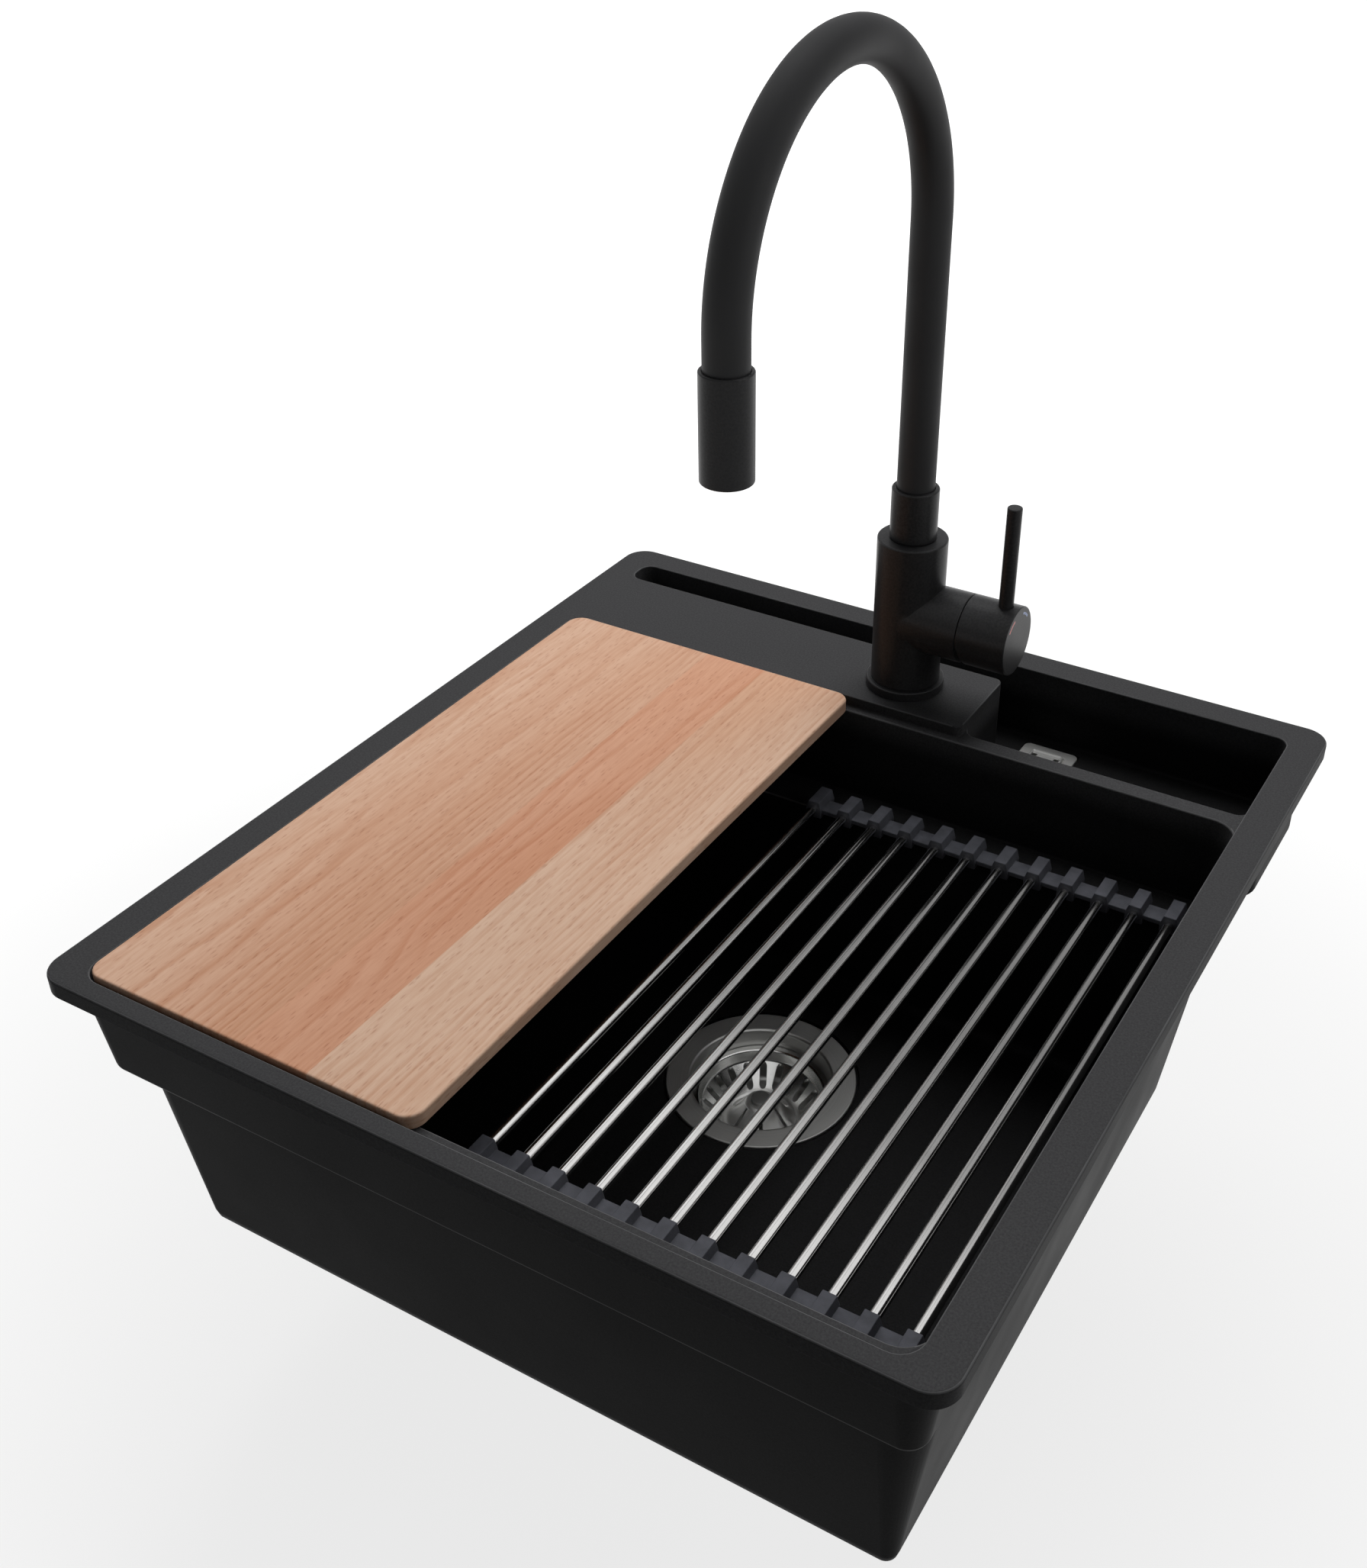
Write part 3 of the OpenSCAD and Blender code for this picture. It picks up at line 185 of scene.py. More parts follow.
# ---- sink moulding
# The bowl, its rim, the two ledges, the tap deck, the knife slot and the tray are one casting of
# quartz grains in acrylic resin, black right through, released from a satin-blasted mould.
def outline(corners, radii, steps=9):
    """Round-cornered outlines, any number at once.

    The corner p, where the direction turns by the angle w from a, with n the normal on the inner side,
    becomes the arc p - r a tan(w / 2) + r a sin t + r n (1 - cos t), with t from 0 to w.
    """
    p, r = np.asarray(corners, float), np.asarray(radii, float)[..., None, None]
    a = p - np.roll(p, 1, -2)
    b = np.roll(p, -1, -2) - p
    a, b = (v / np.linalg.norm(v, axis=-1, keepdims=True) for v in (a, b))
    cross = a[..., 0] * b[..., 1] - a[..., 1] * b[..., 0]
    w = np.arctan2(np.abs(cross), (a * b).sum(-1))[..., None, None]
    n = np.sign(cross)[..., None] * np.stack([-a[..., 1], a[..., 0]], -1)
    p, a, n = p[..., None, :], a[..., None, :], n[..., None, :]
    t = w * np.linspace(0, 1, steps)[:, None]
    arc = p - r * a * np.tan(w / 2) + r * a * np.sin(t) + r * n * (1 - np.cos(t))
    return arc.reshape(*arc.shape[:-3], -1, 2)


def level(corners, radii, z):
    """One row of numbers for a level of a moulding: all x, all y, the corner radii, and the height."""
    c = np.asarray(corners, float)
    return np.concatenate([c[:, 0], c[:, 1], np.broadcast_to(radii, len(c)), [z]])


def oblong(left, right, front, rear, radius, z):
    """The level of a plain oblong."""
    return level([(left, front), (right, front), (right, rear), (left, rear)], radius, z)


def square(half, radius, z, centre):
    """The level of a square about a centre (x, y)."""
    x, y = centre
    return oblong(x - half, x + half, y - half, y + half, radius, z)


def grown(row, by, z):
    """A level pushed outwards: a corner moves by the sum of its edges' outward normals over 1 + cos w."""
    k = (len(row) - 1) // 3
    c, r = np.stack([row[:k], row[k:2 * k]], 1), row[2 * k:3 * k]
    a, b = c - np.roll(c, 1, 0), np.roll(c, -1, 0) - c
    a, b = (v / np.linalg.norm(v, axis=1, keepdims=True) for v in (a, b))
    convex = np.sign(a[:, 0] * b[:, 1] - a[:, 1] * b[:, 0])
    both = a + b
    push = np.stack([both[:, 1], -both[:, 0]], 1) / (1 + (a * b).sum(1))[:, None]
    return level(c + by * push, np.maximum(r + by * convex, 0.01), z)


def eased(rows, ease, steps=5):
    """Softens a profile: a row becomes the quadratic curve between points `ease` before and after it."""
    rows = [np.asarray(row, float) for row in rows]
    k = (len(rows[0]) - 1) // 3
    out = []
    for i, (row, e) in enumerate(zip(rows, ease)):
        if e == 0:
            out.append(row[None])
            continue
        before, after = ((other - row) / np.abs(np.delete(other - row, slice(2 * k, 3 * k))).max()
                         for other in (rows[i - 1], rows[i + 1]))
        t = np.linspace(0, 1, steps)[:, None]
        out.append((1 - t) ** 2 * (row + e * before) + 2 * t * (1 - t) * row + t ** 2 * (row + e * after))
    return np.concatenate(out)


def quads(rows, columns, ring=False):
    """Four-sided faces of a grid that is closed along its columns, and along its rows for a ring."""
    i = np.arange(rows if ring else rows - 1)[:, None]
    j = np.arange(columns)[None]
    i2, j2 = (i + 1) % rows, (j + 1) % columns
    return np.stack(np.broadcast_arrays(i * columns + j, i2 * columns + j, i2 * columns + j2,
                                        i * columns + j2), -1).reshape(-1, 4)


def solid(points, ring=False):
    """A closed skin over loops of points, (loops, points, 3): quads between them, a cap at each end."""
    n, m = points.shape[:2]
    faces = quads(n, m, ring).tolist()
    if not ring:
        faces += [list(range(m)), list(range((n - 1) * m, n * m))[::-1]]
    return points.reshape(-1, 3), faces


def loft(rows, steps=9, ring=False):
    """A moulding whose levels are round-cornered outlines."""
    rows = np.asarray(rows)
    k = (rows.shape[1] - 1) // 3
    flat = outline(np.stack([rows[:, :k], rows[:, k:2 * k]], -1), rows[:, 2 * k:3 * k], steps)
    z = np.broadcast_to(rows[:, -1, None, None], (*flat.shape[:2], 1))
    return solid(np.concatenate([flat, z], -1), ring)


def spun(profile, centre=(0, 0, 0), axis="z", turns=64, ring=False):
    """A turned shape: the profile (radius, height) goes round the axis, so x = r cos t, y = r sin t."""
    p = np.asarray(profile, float)
    t = np.linspace(0, 2 * np.pi, turns, endpoint=False)
    x, y, z = p[:, :1] * np.cos(t), p[:, :1] * np.sin(t), np.broadcast_to(p[:, 1:], (len(p), turns))
    order = {"z": (x, y, z), "x": (z, x, y), "y": (y, z, x)}[axis]
    return solid(np.stack(order, -1) + np.asarray(centre, float), ring)


def mesh_object(name, *skins):
    """Puts closed skins, in millimetres, into one mesh object, its doubles merged, its faces outwards."""
    mesh = bpy.data.meshes.new(name)
    points, faces, start = [], [], 0
    for p, f in skins:
        points.append(p)
        faces += [[start + v for v in face] for face in f]
        start += len(p)
    mesh.from_pydata((np.concatenate(points) * 0.001).tolist(), [], faces)
    bm = bmesh.new()
    bm.from_mesh(mesh)
    bmesh.ops.remove_doubles(bm, verts=bm.verts, dist=2e-6)
    bmesh.ops.recalc_face_normals(bm, faces=bm.faces)
    bm.to_mesh(mesh)
    bm.free()
    made = bpy.data.objects.new(name, mesh)
    bpy.context.scene.collection.objects.link(made)
    return made


def carved(made, operation, *tools):
    """Joins solid tools to a solid, or cuts them out of it, one by one, and takes the tools away."""
    for skin in tools:
        tool = mesh_object(made.name + "_tool", skin)
        step = made.modifiers.new("carve", "BOOLEAN")
        step.operation, step.object, step.solver = operation, tool, "MANIFOLD"
        graph = bpy.context.evaluated_depsgraph_get()
        old, made_mesh = made.data, bpy.data.meshes.new_from_object(made.evaluated_get(graph))
        made.modifiers.clear()
        made.data = made_mesh
        bpy.data.meshes.remove(old)
        bpy.data.objects.remove(tool)
    return made


def dressed(made, finish, body, stands_for=(), crease=32):
    """Merges what cuts left double; gives a piece its finish, shading, body and stood-for nodes."""
    mesh = made.data
    bm = bmesh.new()
    bm.from_mesh(mesh)
    bmesh.ops.remove_doubles(bm, verts=bm.verts, dist=2e-6)
    bmesh.ops.dissolve_degenerate(bm, edges=bm.edges, dist=1e-7)
    bm.to_mesh(mesh)
    bm.free()
    mesh.materials.clear()
    mesh.materials.append(finish)
    mesh.polygons.foreach_set("use_smooth", [True] * len(mesh.polygons))
    mesh.set_sharp_from_angle(angle=math.radians(crease))
    even = made.modifiers.new("even_shading", "WEIGHTED_NORMAL")
    even.keep_sharp, even.weight = True, 60
    if body:
        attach(made, body)
    if stands_for:
        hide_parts(*stands_for)
    return made


# Quartz composite: grains of about 0.4 mm, drawn at 1 mm so that they show, under satin resin. It
# gives charcoal top faces, a painted shade that darkens everything below them, painted highlights on
# the rounded edges, a fine grain and no mirror.
composite, node, at = material("black_quartz_composite")
grain = node("TexNoise", {"Vector": at, "Scale": 900.0, "Detail": 2.0, "Roughness": 0.7})
cloud = node("TexNoise", {"Vector": at, "Scale": 14.0, "Detail": 3.0})
fleck = node("TexVoronoi", {"Vector": at, "Scale": 420.0}, feature="F1")
tone = node("ValToRGB", {"Fac": grain}, stops=[(0.30, "#363637"), (0.72, "#444445")])
bright = node("ValToRGB", {"Fac": fleck}, stops=[(0.05, "#4a4a4b"), (0.16, "#000000")])
speck = node("Mix", {0: 0.10, 6: tone, 7: bright}, data_type="RGBA", blend_type="ADD")
shade = node("MapRange", {"Value": cloud}, limits=(0.3, 0.7, 0.34, 0.42))
bump = node("Bump", {"Height": grain, "Strength": 0.05, "Distance": 0.0004})
split = node("SeparateXYZ", {0: at})
# Painted shade: the colour fades to 0.3 of itself between 1 mm above z = 0 and 16 mm below it, so that
# the walls and the bowl look darker.
depth = node("MapRange", {"Value": split.outputs["Z"]}, limits=(-0.016, 0.001, 0.30, 1.0),
             interpolation_type="SMOOTHSTEP")
painted_shade_below = node("VectorMath", {0: speck.outputs[2], 3: depth}, operation="SCALE")
# Painted highlight: where the edge mark is 1, the colour is mixed towards pale grey #707071 by a patchy
# share of 0.25 to 0.6.
edge = node("Attribute", attribute_name="painted_edge_highlight")
painted_highlight_share = node("MapRange", {"Value": cloud}, limits=(0.3, 0.7, 0.25, 0.6))
painted_highlight_share = node("Math", {0: painted_highlight_share, 1: edge.outputs["Fac"]}, operation="MULTIPLY")
tone = node("Mix", {0: painted_highlight_share, 6: painted_shade_below, 7: linear("#707071")}, data_type="RGBA")
skin = node("BsdfPrincipled", {"Base Color": tone.outputs[2], "Roughness": shade, "IOR": 1.49,
                               "Specular IOR Level": 0.01, "Normal": bump})
node("OutputMaterial", {"Surface": skin})

# Later pieces share the centres of the waste, of the tap and of the tray's drain; the sink's own main
# levels and edges follow.
waste_y, tap_y, tray_at = 20, 200, (86, 229)
rim_top, side, slot_front, slot_rear, deck_right, floor_top = 10, 229.5, 234, 255, 53, -182
rim = oblong(-250, 250, -275, 275, 15, rim_top)
skirt = oblong(-240.5, 240.5, -265.5, 172, 18, 0)
shell = oblong(-230, 230, -247, 151.5, 22, -59)
sink = mesh_object("sink_moulding", loft(eased(
    [grown(rim, -4, rim_top), rim, grown(rim, 0, 0), skirt, grown(skirt, -6.94, -55.5),
     grown(skirt, -10.44, -59), shell, grown(shell, -16.4, -190), grown(shell, -34, -190)],
    [0, 1.6, 0.5, 0, 2, 0, 0, 12, 0]), 11))
# The box that hangs under the rear rim, round the tray and the knife slot.
box = level([(-240.5, 225), (44, 225), (44, 162), (240.5, 162), (240.5, 265.5), (-240.5, 265.5)],
            [17, 2, 17, 17, 17, 17], 5)
carved(sink, "UNION", loft(eased([box, grown(box, 0, -48), grown(box, -8, -48)], [0, 1.5, 0])))
# The recess of the board's ledge goes round the tap's deck; below it lie the tray with the knife slot,
# wider at its lip, and the bowl, as half width, front, rear, corner radius and height of each level.
recess = level([(-side, -264), (side, -264), (side, slot_rear), (-side, slot_rear), (-side, slot_front),
                (deck_right, slot_front), (deck_right, 167.5), (-side, 167.5)],
               [12, 12, 8, 8, 8, 5, 5, 12], rim_top)
well, well_lip = (level([(-side, slot_front), (deck_right, slot_front), (deck_right, near), (side, near),
                         (side, slot_rear), (-side, slot_rear)], [8, 5, 8, 8, 8, 8], z)
                  for near, z in ((173.6, -39), (171.8, 3)))
bowl = [oblong(-half, half, *rest) for half, *rest in (
    (side, -257.3, 163.8, 16, 5), (side, -257.3, 163.8, 16, 3), (side, -255.5, 162, 16, 3),
    (222, -248, 154.5, 8.5, -52), (222, -221, 128, 14, -52),
    (204, -218, 125, 14, floor_top), (188, -202, 109, 14, floor_top))]
seal_near = oblong(-247.5, 247.5, -272.5, 272.5, 12.5, -1)
seal_far = oblong(-243.5, 243.5, -268.5, 268.5, 8.5, -1)
drain_hole = square(18.5, 1, -30, tray_at)
carved(sink, "DIFFERENCE",
       loft(eased([grown(recess, 1.4, 12), grown(recess, 1.4, rim_top), recess, grown(recess, 0, 3),
                   grown(recess, -3, 3)], [0, 0, 1.3, 0.8, 0])),
       loft(eased([grown(well_lip, 0, 6), well_lip, grown(well, 0, 3), well, grown(well, -8, -39)],
                  [0, 0, 1.6, 3, 0])),
       loft(eased(bowl, [0, 0, 1.5, 1.5, 1.6, 11, 0]), 11),
       loft([seal_near, grown(seal_near, 0, 1.6), grown(seal_far, 0, 1.6), seal_far], ring=True),
       spun([(61, -170), (61, -185), (46, -185), (46, -195)], (0, waste_y, 0)),
       spun([(17.5, 12), (17.5, -2)], (0, tap_y, 0), turns=48),
       loft([drain_hole, grown(drain_hole, 0, -40.5)]),
       spun([(11, -35), (11, -50)], (*tray_at, 0), turns=32))

# The rounded edges get a painted highlight: the narrow faces in the middle of each convex rounding
# are marked 1, the others 0, and the finish is painted paler where the mark is.
bm = bmesh.new()
bm.from_mesh(sink.data)
widest_strip, least_bend, stretch = 0.0011, math.radians(12), 2.5
marked = []
for face in bm.faces:
    area, length = face.calc_area(), max(e.calc_length() for e in face.edges)
    sides = [e for e in face.edges if e.calc_length() > stretch * area / length]
    bends = [e.calc_face_angle_signed(0.0) for e in sides]
    marked.append(float(area < widest_strip * length and len(bends) >= 2 and min(bends) > least_bend))
bm.free()
wear_and_painted_highlight = sink.data.attributes.new("painted_edge_highlight", "FLOAT", "FACE")
wear_and_painted_highlight.data.foreach_set("value", np.array(marked, np.float32))
dressed(sink, composite, "sink", ["sink_body"])


# ---- rim seal
# A strip of closed-cell foam, 4 mm wide, pressed into the groove under the rim. It seals the rim
# to the worktop and shows only from below.
foam, node, at = material("closed_cell_foam")
cells = node("TexVoronoi", {"Vector": at, "Scale": 1300.0})
tone = node("ValToRGB", {"Fac": cells}, stops=[(0.0, "#4b4b4e"), (0.7, "#2f2f32")])
bump = node("Bump", {"Height": cells, "Strength": 0.5, "Distance": 0.0004})
skin = node("BsdfPrincipled", {"Base Color": tone, "Roughness": 0.92, "Normal": bump})
node("OutputMaterial", {"Surface": skin})


def refinish(finish, *nodes):
    """Gives CAD nodes, whose shape stays as it is, one finish."""
    for n in nodes:
        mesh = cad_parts[n].data
        mesh.materials.clear()
        mesh.materials.append(finish)


refinish(foam, "rim_seal")

# ---- chopping board
# Three beech staves glued edge to edge, planed to 8.5 mm, sanded and oiled. It lies loose on the
# front and rear ledges and slides from side to side over the bowl.
# Oiled beech: pale tan. The wide left stave runs from open cathedral grain into close straight lines,
# the narrow one beside it is rosier and wavy, and the right one is pale. Short dark flecks, really
# 0.3 mm wide and drawn at 0.6 mm so that they show, cover them all.
beech, node, at = material("oiled_beech")
first_seam, second_seam = -0.124, -0.082
split = node("SeparateXYZ", {0: at})
second = node("Math", {0: split.outputs["X"], 1: first_seam}, operation="GREATER_THAN")
third = node("Math", {0: split.outputs["X"], 1: second_seam}, operation="GREATER_THAN")
stave = node("Math", {0: second, 1: third}, operation="ADD")
stave = node("Math", {0: stave, 1: 0.5}, operation="MULTIPLY")
other_log = node("CombineXYZ", {0: stave, 1: stave, 2: stave})
log = node("VectorMath", {0: other_log, 1: (0.0, 0.83, 3.1)}, operation="MULTIPLY")
log = node("VectorMath", {0: at, 1: log}, operation="ADD")
along = node("VectorMath", {0: log, 1: (1.0, 0.16, 1.0)}, operation="MULTIPLY")
sway = node("TexNoise", {"Vector": along, "Scale": 19.0, "Detail": 3.0, "Roughness": 0.5})
wild = node("Math", {0: stave, 1: 0.5}, operation="PINGPONG")
wild = node("Math", {0: wild, 1: 0.09, 2: 0.016}, operation="MULTIPLY_ADD")
flame = node("MapRange", {"Value": split.outputs["X"]}, limits=(-0.228, -0.165, 0.07, 0.0))
wild = node("Math", {0: wild, 1: flame}, operation="ADD")
sway = node("Math", {0: sway, 1: wild}, operation="MULTIPLY")
edge = node("MapRange", {"Value": stave}, limits=(0.0, 0.5, 0.211, 0.107))
edge = node("Math", {0: split.outputs["X"], 1: edge}, operation="ADD")
span = node("Math", {0: edge, 1: sway}, operation="ADD")
close = node("Math", {0: span, 1: 760.0, 2: 60.0}, operation="MULTIPLY_ADD")
rings = node("Math", {0: span, 1: close}, operation="MULTIPLY")
rings = node("Math", {0: rings}, operation="FRACT")
wood = node("ValToRGB", {"Fac": rings}, stops=[(0.0, "#ccae9a"), (1.0, "#c8a893"), (0.55, "#c8a994"),
                                               (0.90, "#bd967d")])
fade = node("TexNoise", {"Vector": along, "Scale": 26.0, "Detail": 2.0})
fade = node("MapRange", {"Value": fade}, limits=(0.36, 0.62, 0.08, 0.85))
wood = node("Mix", {0: fade, 6: linear("#cbad98"), 7: wood}, data_type="RGBA")
tint = node("ValToRGB", {"Fac": stave}, stops=[(0.0, "#fcf4ee"), (1.0, "#fffdfa"), (0.5, "#fae5d9")])
patch = node("TexNoise", {"Vector": along, "Scale": 11.0, "Detail": 2.0})
patch = node("ValToRGB", {"Fac": patch}, stops=[(0.36, "#f4e5da"), (0.62, "#ffffff")])
fibre_at = node("VectorMath", {0: log, 1: (1.0, 0.07, 1.0)}, operation="MULTIPLY")
fibre = node("TexNoise", {"Vector": fibre_at, "Scale": 620.0, "Detail": 3.0, "Roughness": 0.6})
fine = node("ValToRGB", {"Fac": fibre}, stops=[(0.34, "#ecdfd5"), (0.60, "#ffffff")])
slant = node("Mapping", {"Vector": log, "Rotation": (0.0, 0.0, 0.09), "Scale": (1.0, 0.2, 1.0)})
fleck = node("TexVoronoi", {"Vector": slant, "Scale": 520.0, "Randomness": 1.0})
dark = node("ValToRGB", {"Fac": fleck}, stops=[(0.10, "#b98d72"), (0.30, "#ffffff")])
tone = wood
for share, layer in ((1.0, tint), (1.0, patch), (0.6, fine), (0.35, dark)):
    tone = node("Mix", {0: share, 6: tone.outputs[2], 7: layer}, data_type="RGBA", blend_type="MULTIPLY")
sheen = node("MapRange", {"Value": fibre}, limits=(0.3, 0.7, 0.55, 0.68))
bump = node("Bump", {"Height": fleck, "Strength": 0.08, "Distance": 0.0004})
skin = node("BsdfPrincipled", {"Base Color": tone.outputs[2], "Roughness": sheen, "IOR": 1.45,
                               "Specular IOR Level": 0.15, "Normal": bump})
node("OutputMaterial", {"Surface": skin})

under, top = 3.3, 11.8
plank = oblong(-228, -20, -262.5, 166, 10, under)
board = mesh_object("chopping_board", loft(eased(
    [grown(plank, -6, under), plank, grown(plank, 0, top), grown(plank, -6, top)], [0, 1.3, 1.6, 0]), 13))
dressed(board, beech, "board", ["cutting_board"], crease=50)

# ---- roll-up rack
# Twelve round steel rods, each pushed into a rubber grip at either end. Thin rubber links join the
# grips, so that the rack rolls up like a blind; it lies loose on the two lower ledges.
# Drawn stainless rod: bright, with hair-fine draw marks along it that stretch each reflection.
bright_rod, node, at = material("drawn_stainless_rod")
long_way = node("VectorMath", {0: at, 1: (1.0, 0.01, 1.0)}, operation="MULTIPLY")
marks = node("TexNoise", {"Vector": long_way, "Scale": 900.0, "Detail": 1.0})
smear = node("TexNoise", {"Vector": at, "Scale": 60.0, "Detail": 3.0})
tone = node("ValToRGB", {"Fac": marks}, stops=[(0.3, "#dcdbda"), (0.7, "#e2e1e0")])
rough = node("MapRange", {"Value": smear}, limits=(0.3, 0.7, 0.12, 0.17))
skin = node("BsdfPrincipled", {"Base Color": tone, "Metallic": 1.0, "Roughness": rough})
node("OutputMaterial", {"Surface": skin})

# Moulded EPDM rubber: dark slate, matt, with a faint dusty bloom and soft edges.
rubber, node, at = material("moulded_slate_rubber")
dust = node("TexNoise", {"Vector": at, "Scale": 130.0, "Detail": 4.0})
pores = node("TexNoise", {"Vector": at, "Scale": 1500.0, "Detail": 1.0})
tone = node("ValToRGB", {"Fac": dust}, stops=[(0.35, "#37383d"), (0.7, "#44454b")])
bump = node("Bump", {"Height": pores, "Strength": 0.15, "Distance": 0.0002})
skin = node("BsdfPrincipled", {"Base Color": tone, "Roughness": 0.68, "IOR": 1.5,
                               "Specular IOR Level": 0.35, "Normal": bump})
node("OutputMaterial", {"Surface": skin})


def run_along_y(skin_xz):
    """Turns a loft whose levels lie in (x, z) and whose height is y: (x, y, z) becomes (x, z, y)."""
    points, faces = skin_xz
    return points[:, [0, 2, 1]], faces


first_rod, pitch, rod_z, shelf_z = -20.0, 20.8, -46.0, -51.7
grip_front, grip_rear, grip_long = -230.25, 136.75, 18.3
block = level([(-5.3, 0), (5.3, 0), (5.3, 5.4), (3.6, 11.2), (-3.6, 11.2), (-5.3, 5.4)],
              [0.5, 0.5, 0.6, 0.45, 0.45, 0.6], 0)
bar = run_along_y(loft(eased([grown(block, -2, 0), block, grown(block, 0, grip_long),
                              grown(block, -2, grip_long)], [0, 0.6, 0.6, 0]), 4))
for i in range(12):
    x = first_rod + i * pitch
    points, faces = bar
    here = points + (x, grip_front, shelf_z)
    mirrored = here * (1, -1, 1) + (0, grip_front + grip_rear, 0)
    grip = mesh_object(f"rack_end_grips_{i + 1:02d}", (here, faces), (mirrored, faces))
    dressed(grip, rubber, f"slat_{i + 1:02d}", [f"rack_grip_{i + 1:02d}"])
    rod = mesh_object(f"rack_steel_rod_{i + 1:02d}", spun(
        [(2.4, -223.75), (3, -223.2), *[(3, y) for y in np.linspace(-222, 128.5, 9)], (3, 129.7),
         (2.4, 130.25)], (x, 0, rod_z), "y", 40))
    dressed(rod, bright_rod, f"slat_{i + 1:02d}", [f"rack_rod_{i + 1:02d}"])

# The links: flat straps moulded with the grips, 3 mm thick, between one slat and the next.
# Their section (y, z) is carried in x from 4 mm beside one rod to 4 mm before the next.
strap = outline([(5, 3.2), (17.2, 3.2), (17.2, 6.2), (5, 6.2)], 0.5, 4)
beside = 4
for i in range(11):
    near, far = first_rod + i * pitch + beside, first_rod + (i + 1) * pitch - beside
    ends = []
    for mirror, shift in ((1, grip_front), (-1, grip_rear)):
        y, z = mirror * strap[:, 0] + shift, strap[:, 1] + shelf_z
        ends.append(solid(np.stack([np.column_stack([np.full(len(strap), x), y, z])
                                    for x in np.linspace(near, far, 13)])))
    bend = mesh_object(f"rack_link_straps_{i + 1:02d}", *ends)
    dressed(bend, rubber, None)
    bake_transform(bend)

# ---- strainer waste
# A flange, stepped cup and threaded outlet pressed from one stainless blank. It sits flush in the
# bowl floor on a thin ring and is clamped from below by a lobed nut over a rubber washer.
# Satin stainless: turned marks run round the flange, polished brighter inside the cup.
satin_steel, node, at = material("satin_turned_stainless")
centred = node("Mapping", {"Vector": at, "Location": (0.0, -waste_y * 0.001, 0.0)})
split = node("SeparateXYZ", {0: centred})
flat = node("CombineXYZ", {0: split.outputs["X"], 1: split.outputs["Y"]})
reach = node("VectorMath", {0: flat}, operation="LENGTH")
turned = node("CombineXYZ", {0: reach.outputs["Value"], 2: split.outputs["Z"]})
marks = node("TexNoise", {"Vector": turned, "Scale": 1800.0, "Detail": 2.0})
smear = node("TexNoise", {"Vector": at, "Scale": 45.0, "Detail": 3.0})
tone = node("ValToRGB", {"Fac": marks}, stops=[(0.3, "#c0c0be"), (0.7, "#cacac8")])
inside = node("MapRange", {"Value": reach.outputs["Value"]}, limits=(0.0435, 0.0465, 0.38, 0.5))
wear_and_painted_highlight = node("MapRange", {"Value": smear}, limits=(0.3, 0.7, 0.0, 0.08))
rough = node("Math", {0: inside, 1: wear_and_painted_highlight}, operation="ADD")
bump = node("Bump", {"Height": marks, "Strength": 0.02, "Distance": 0.0001})
pressed = node("MapRange", {"Value": reach.outputs["Value"]}, limits=(0.0435, 0.0465, 1.0, 0.95))
skin = node("BsdfPrincipled", {"Base Color": tone, "Metallic": pressed, "Roughness": rough,
                               "Normal": bump})
node("OutputMaterial", {"Surface": skin})

drain_at = (0, waste_y, floor_top)
ring = outline([(59, -2), (59, 0), (43.5, 0), (43.5, -14), (40.5, -14), (40.5, -38), (19, -44), (19, -62),
                (21.5, -62), (21.5, -46), (42.5, -39), (45.5, -27), (45.5, -2)],
               [0.2, 0.9, 2.0, 1.2, 0.9, 4.0, 1.5, 0.3, 0.3, 1.0, 2.0, 1.0, 0.3], 6)
waste = mesh_object("waste_flange_and_cup", spun(ring, drain_at, turns=128, ring=True))
dressed(waste, satin_steel, "sink", ["drain_flange"])

# ---- strainer basket
# A pressed stainless cup with twenty slots and a raised flower of six petals, riveted to a post
# with a flat disc that serves as the handle. It lifts out of the cup.
# Polished stainless: near mirror round the slotted wall, softer on the flower, with faint wipe marks.
bright_press, node, at = material("polished_pressed_stainless")
wipe = node("TexNoise", {"Vector": at, "Scale": 55.0, "Detail": 2.0})
tone = node("ValToRGB", {"Fac": wipe}, stops=[(0.3, "#dededc"), (0.7, "#ebebea")])
wiped = node("MapRange", {"Value": wipe}, limits=(0.3, 0.7, 0.16, 0.24))
centred = node("Mapping", {"Vector": at, "Location": (0.0, -waste_y * 0.001, 0.0),
                           "Scale": (1.0, 1.0, 0.0)})
radius = node("VectorMath", {0: centred}, operation="LENGTH")
soft = node("MapRange", {"Value": radius.outputs["Value"]}, limits=(0.022, 0.026, 0.22, 0.0))
rough = node("Math", {0: wiped, 1: soft}, operation="ADD")
skin = node("BsdfPrincipled", {"Base Color": tone, "Metallic": 1.0, "Roughness": rough})
node("OutputMaterial", {"Surface": skin})

sheet = 1.2
cup = outline([(43.2, -12.5), (38.8, -12.5), (37, -19.5), (22.5, -35.3), (6, -35.3), (6, -36.5),
               (23.2, -36.5), (38.2, -20.2), (40, -13.7), (43.2, -13.7)],
              [0.5, 1.6, 4.0, 4.0, 0.2, 0.2, 4.6, 4.6, 0.4, 0.5], 7)
basket = mesh_object("strainer_basket", spun(cup, drain_at, turns=120, ring=True))
slots, slot_in, slot_out, slot_half = 20, 24.5, 36.4, 2.3
slot = outline([(slot_in, -slot_half), (slot_out, -slot_half), (slot_out, slot_half),
                (slot_in, slot_half)], slot_half - 0.01, 8)
for a in 2 * np.pi * (np.arange(slots) + 0.5) / slots:
    place = slot @ np.array([[np.cos(a), np.sin(a)], [-np.sin(a), np.cos(a)]])
    loops = np.stack([np.column_stack([place, np.full(len(place), z)]) for z in (-14.5, -38.0)])
    carved(basket, "DIFFERENCE", solid(loops + np.asarray(drain_at, float)))


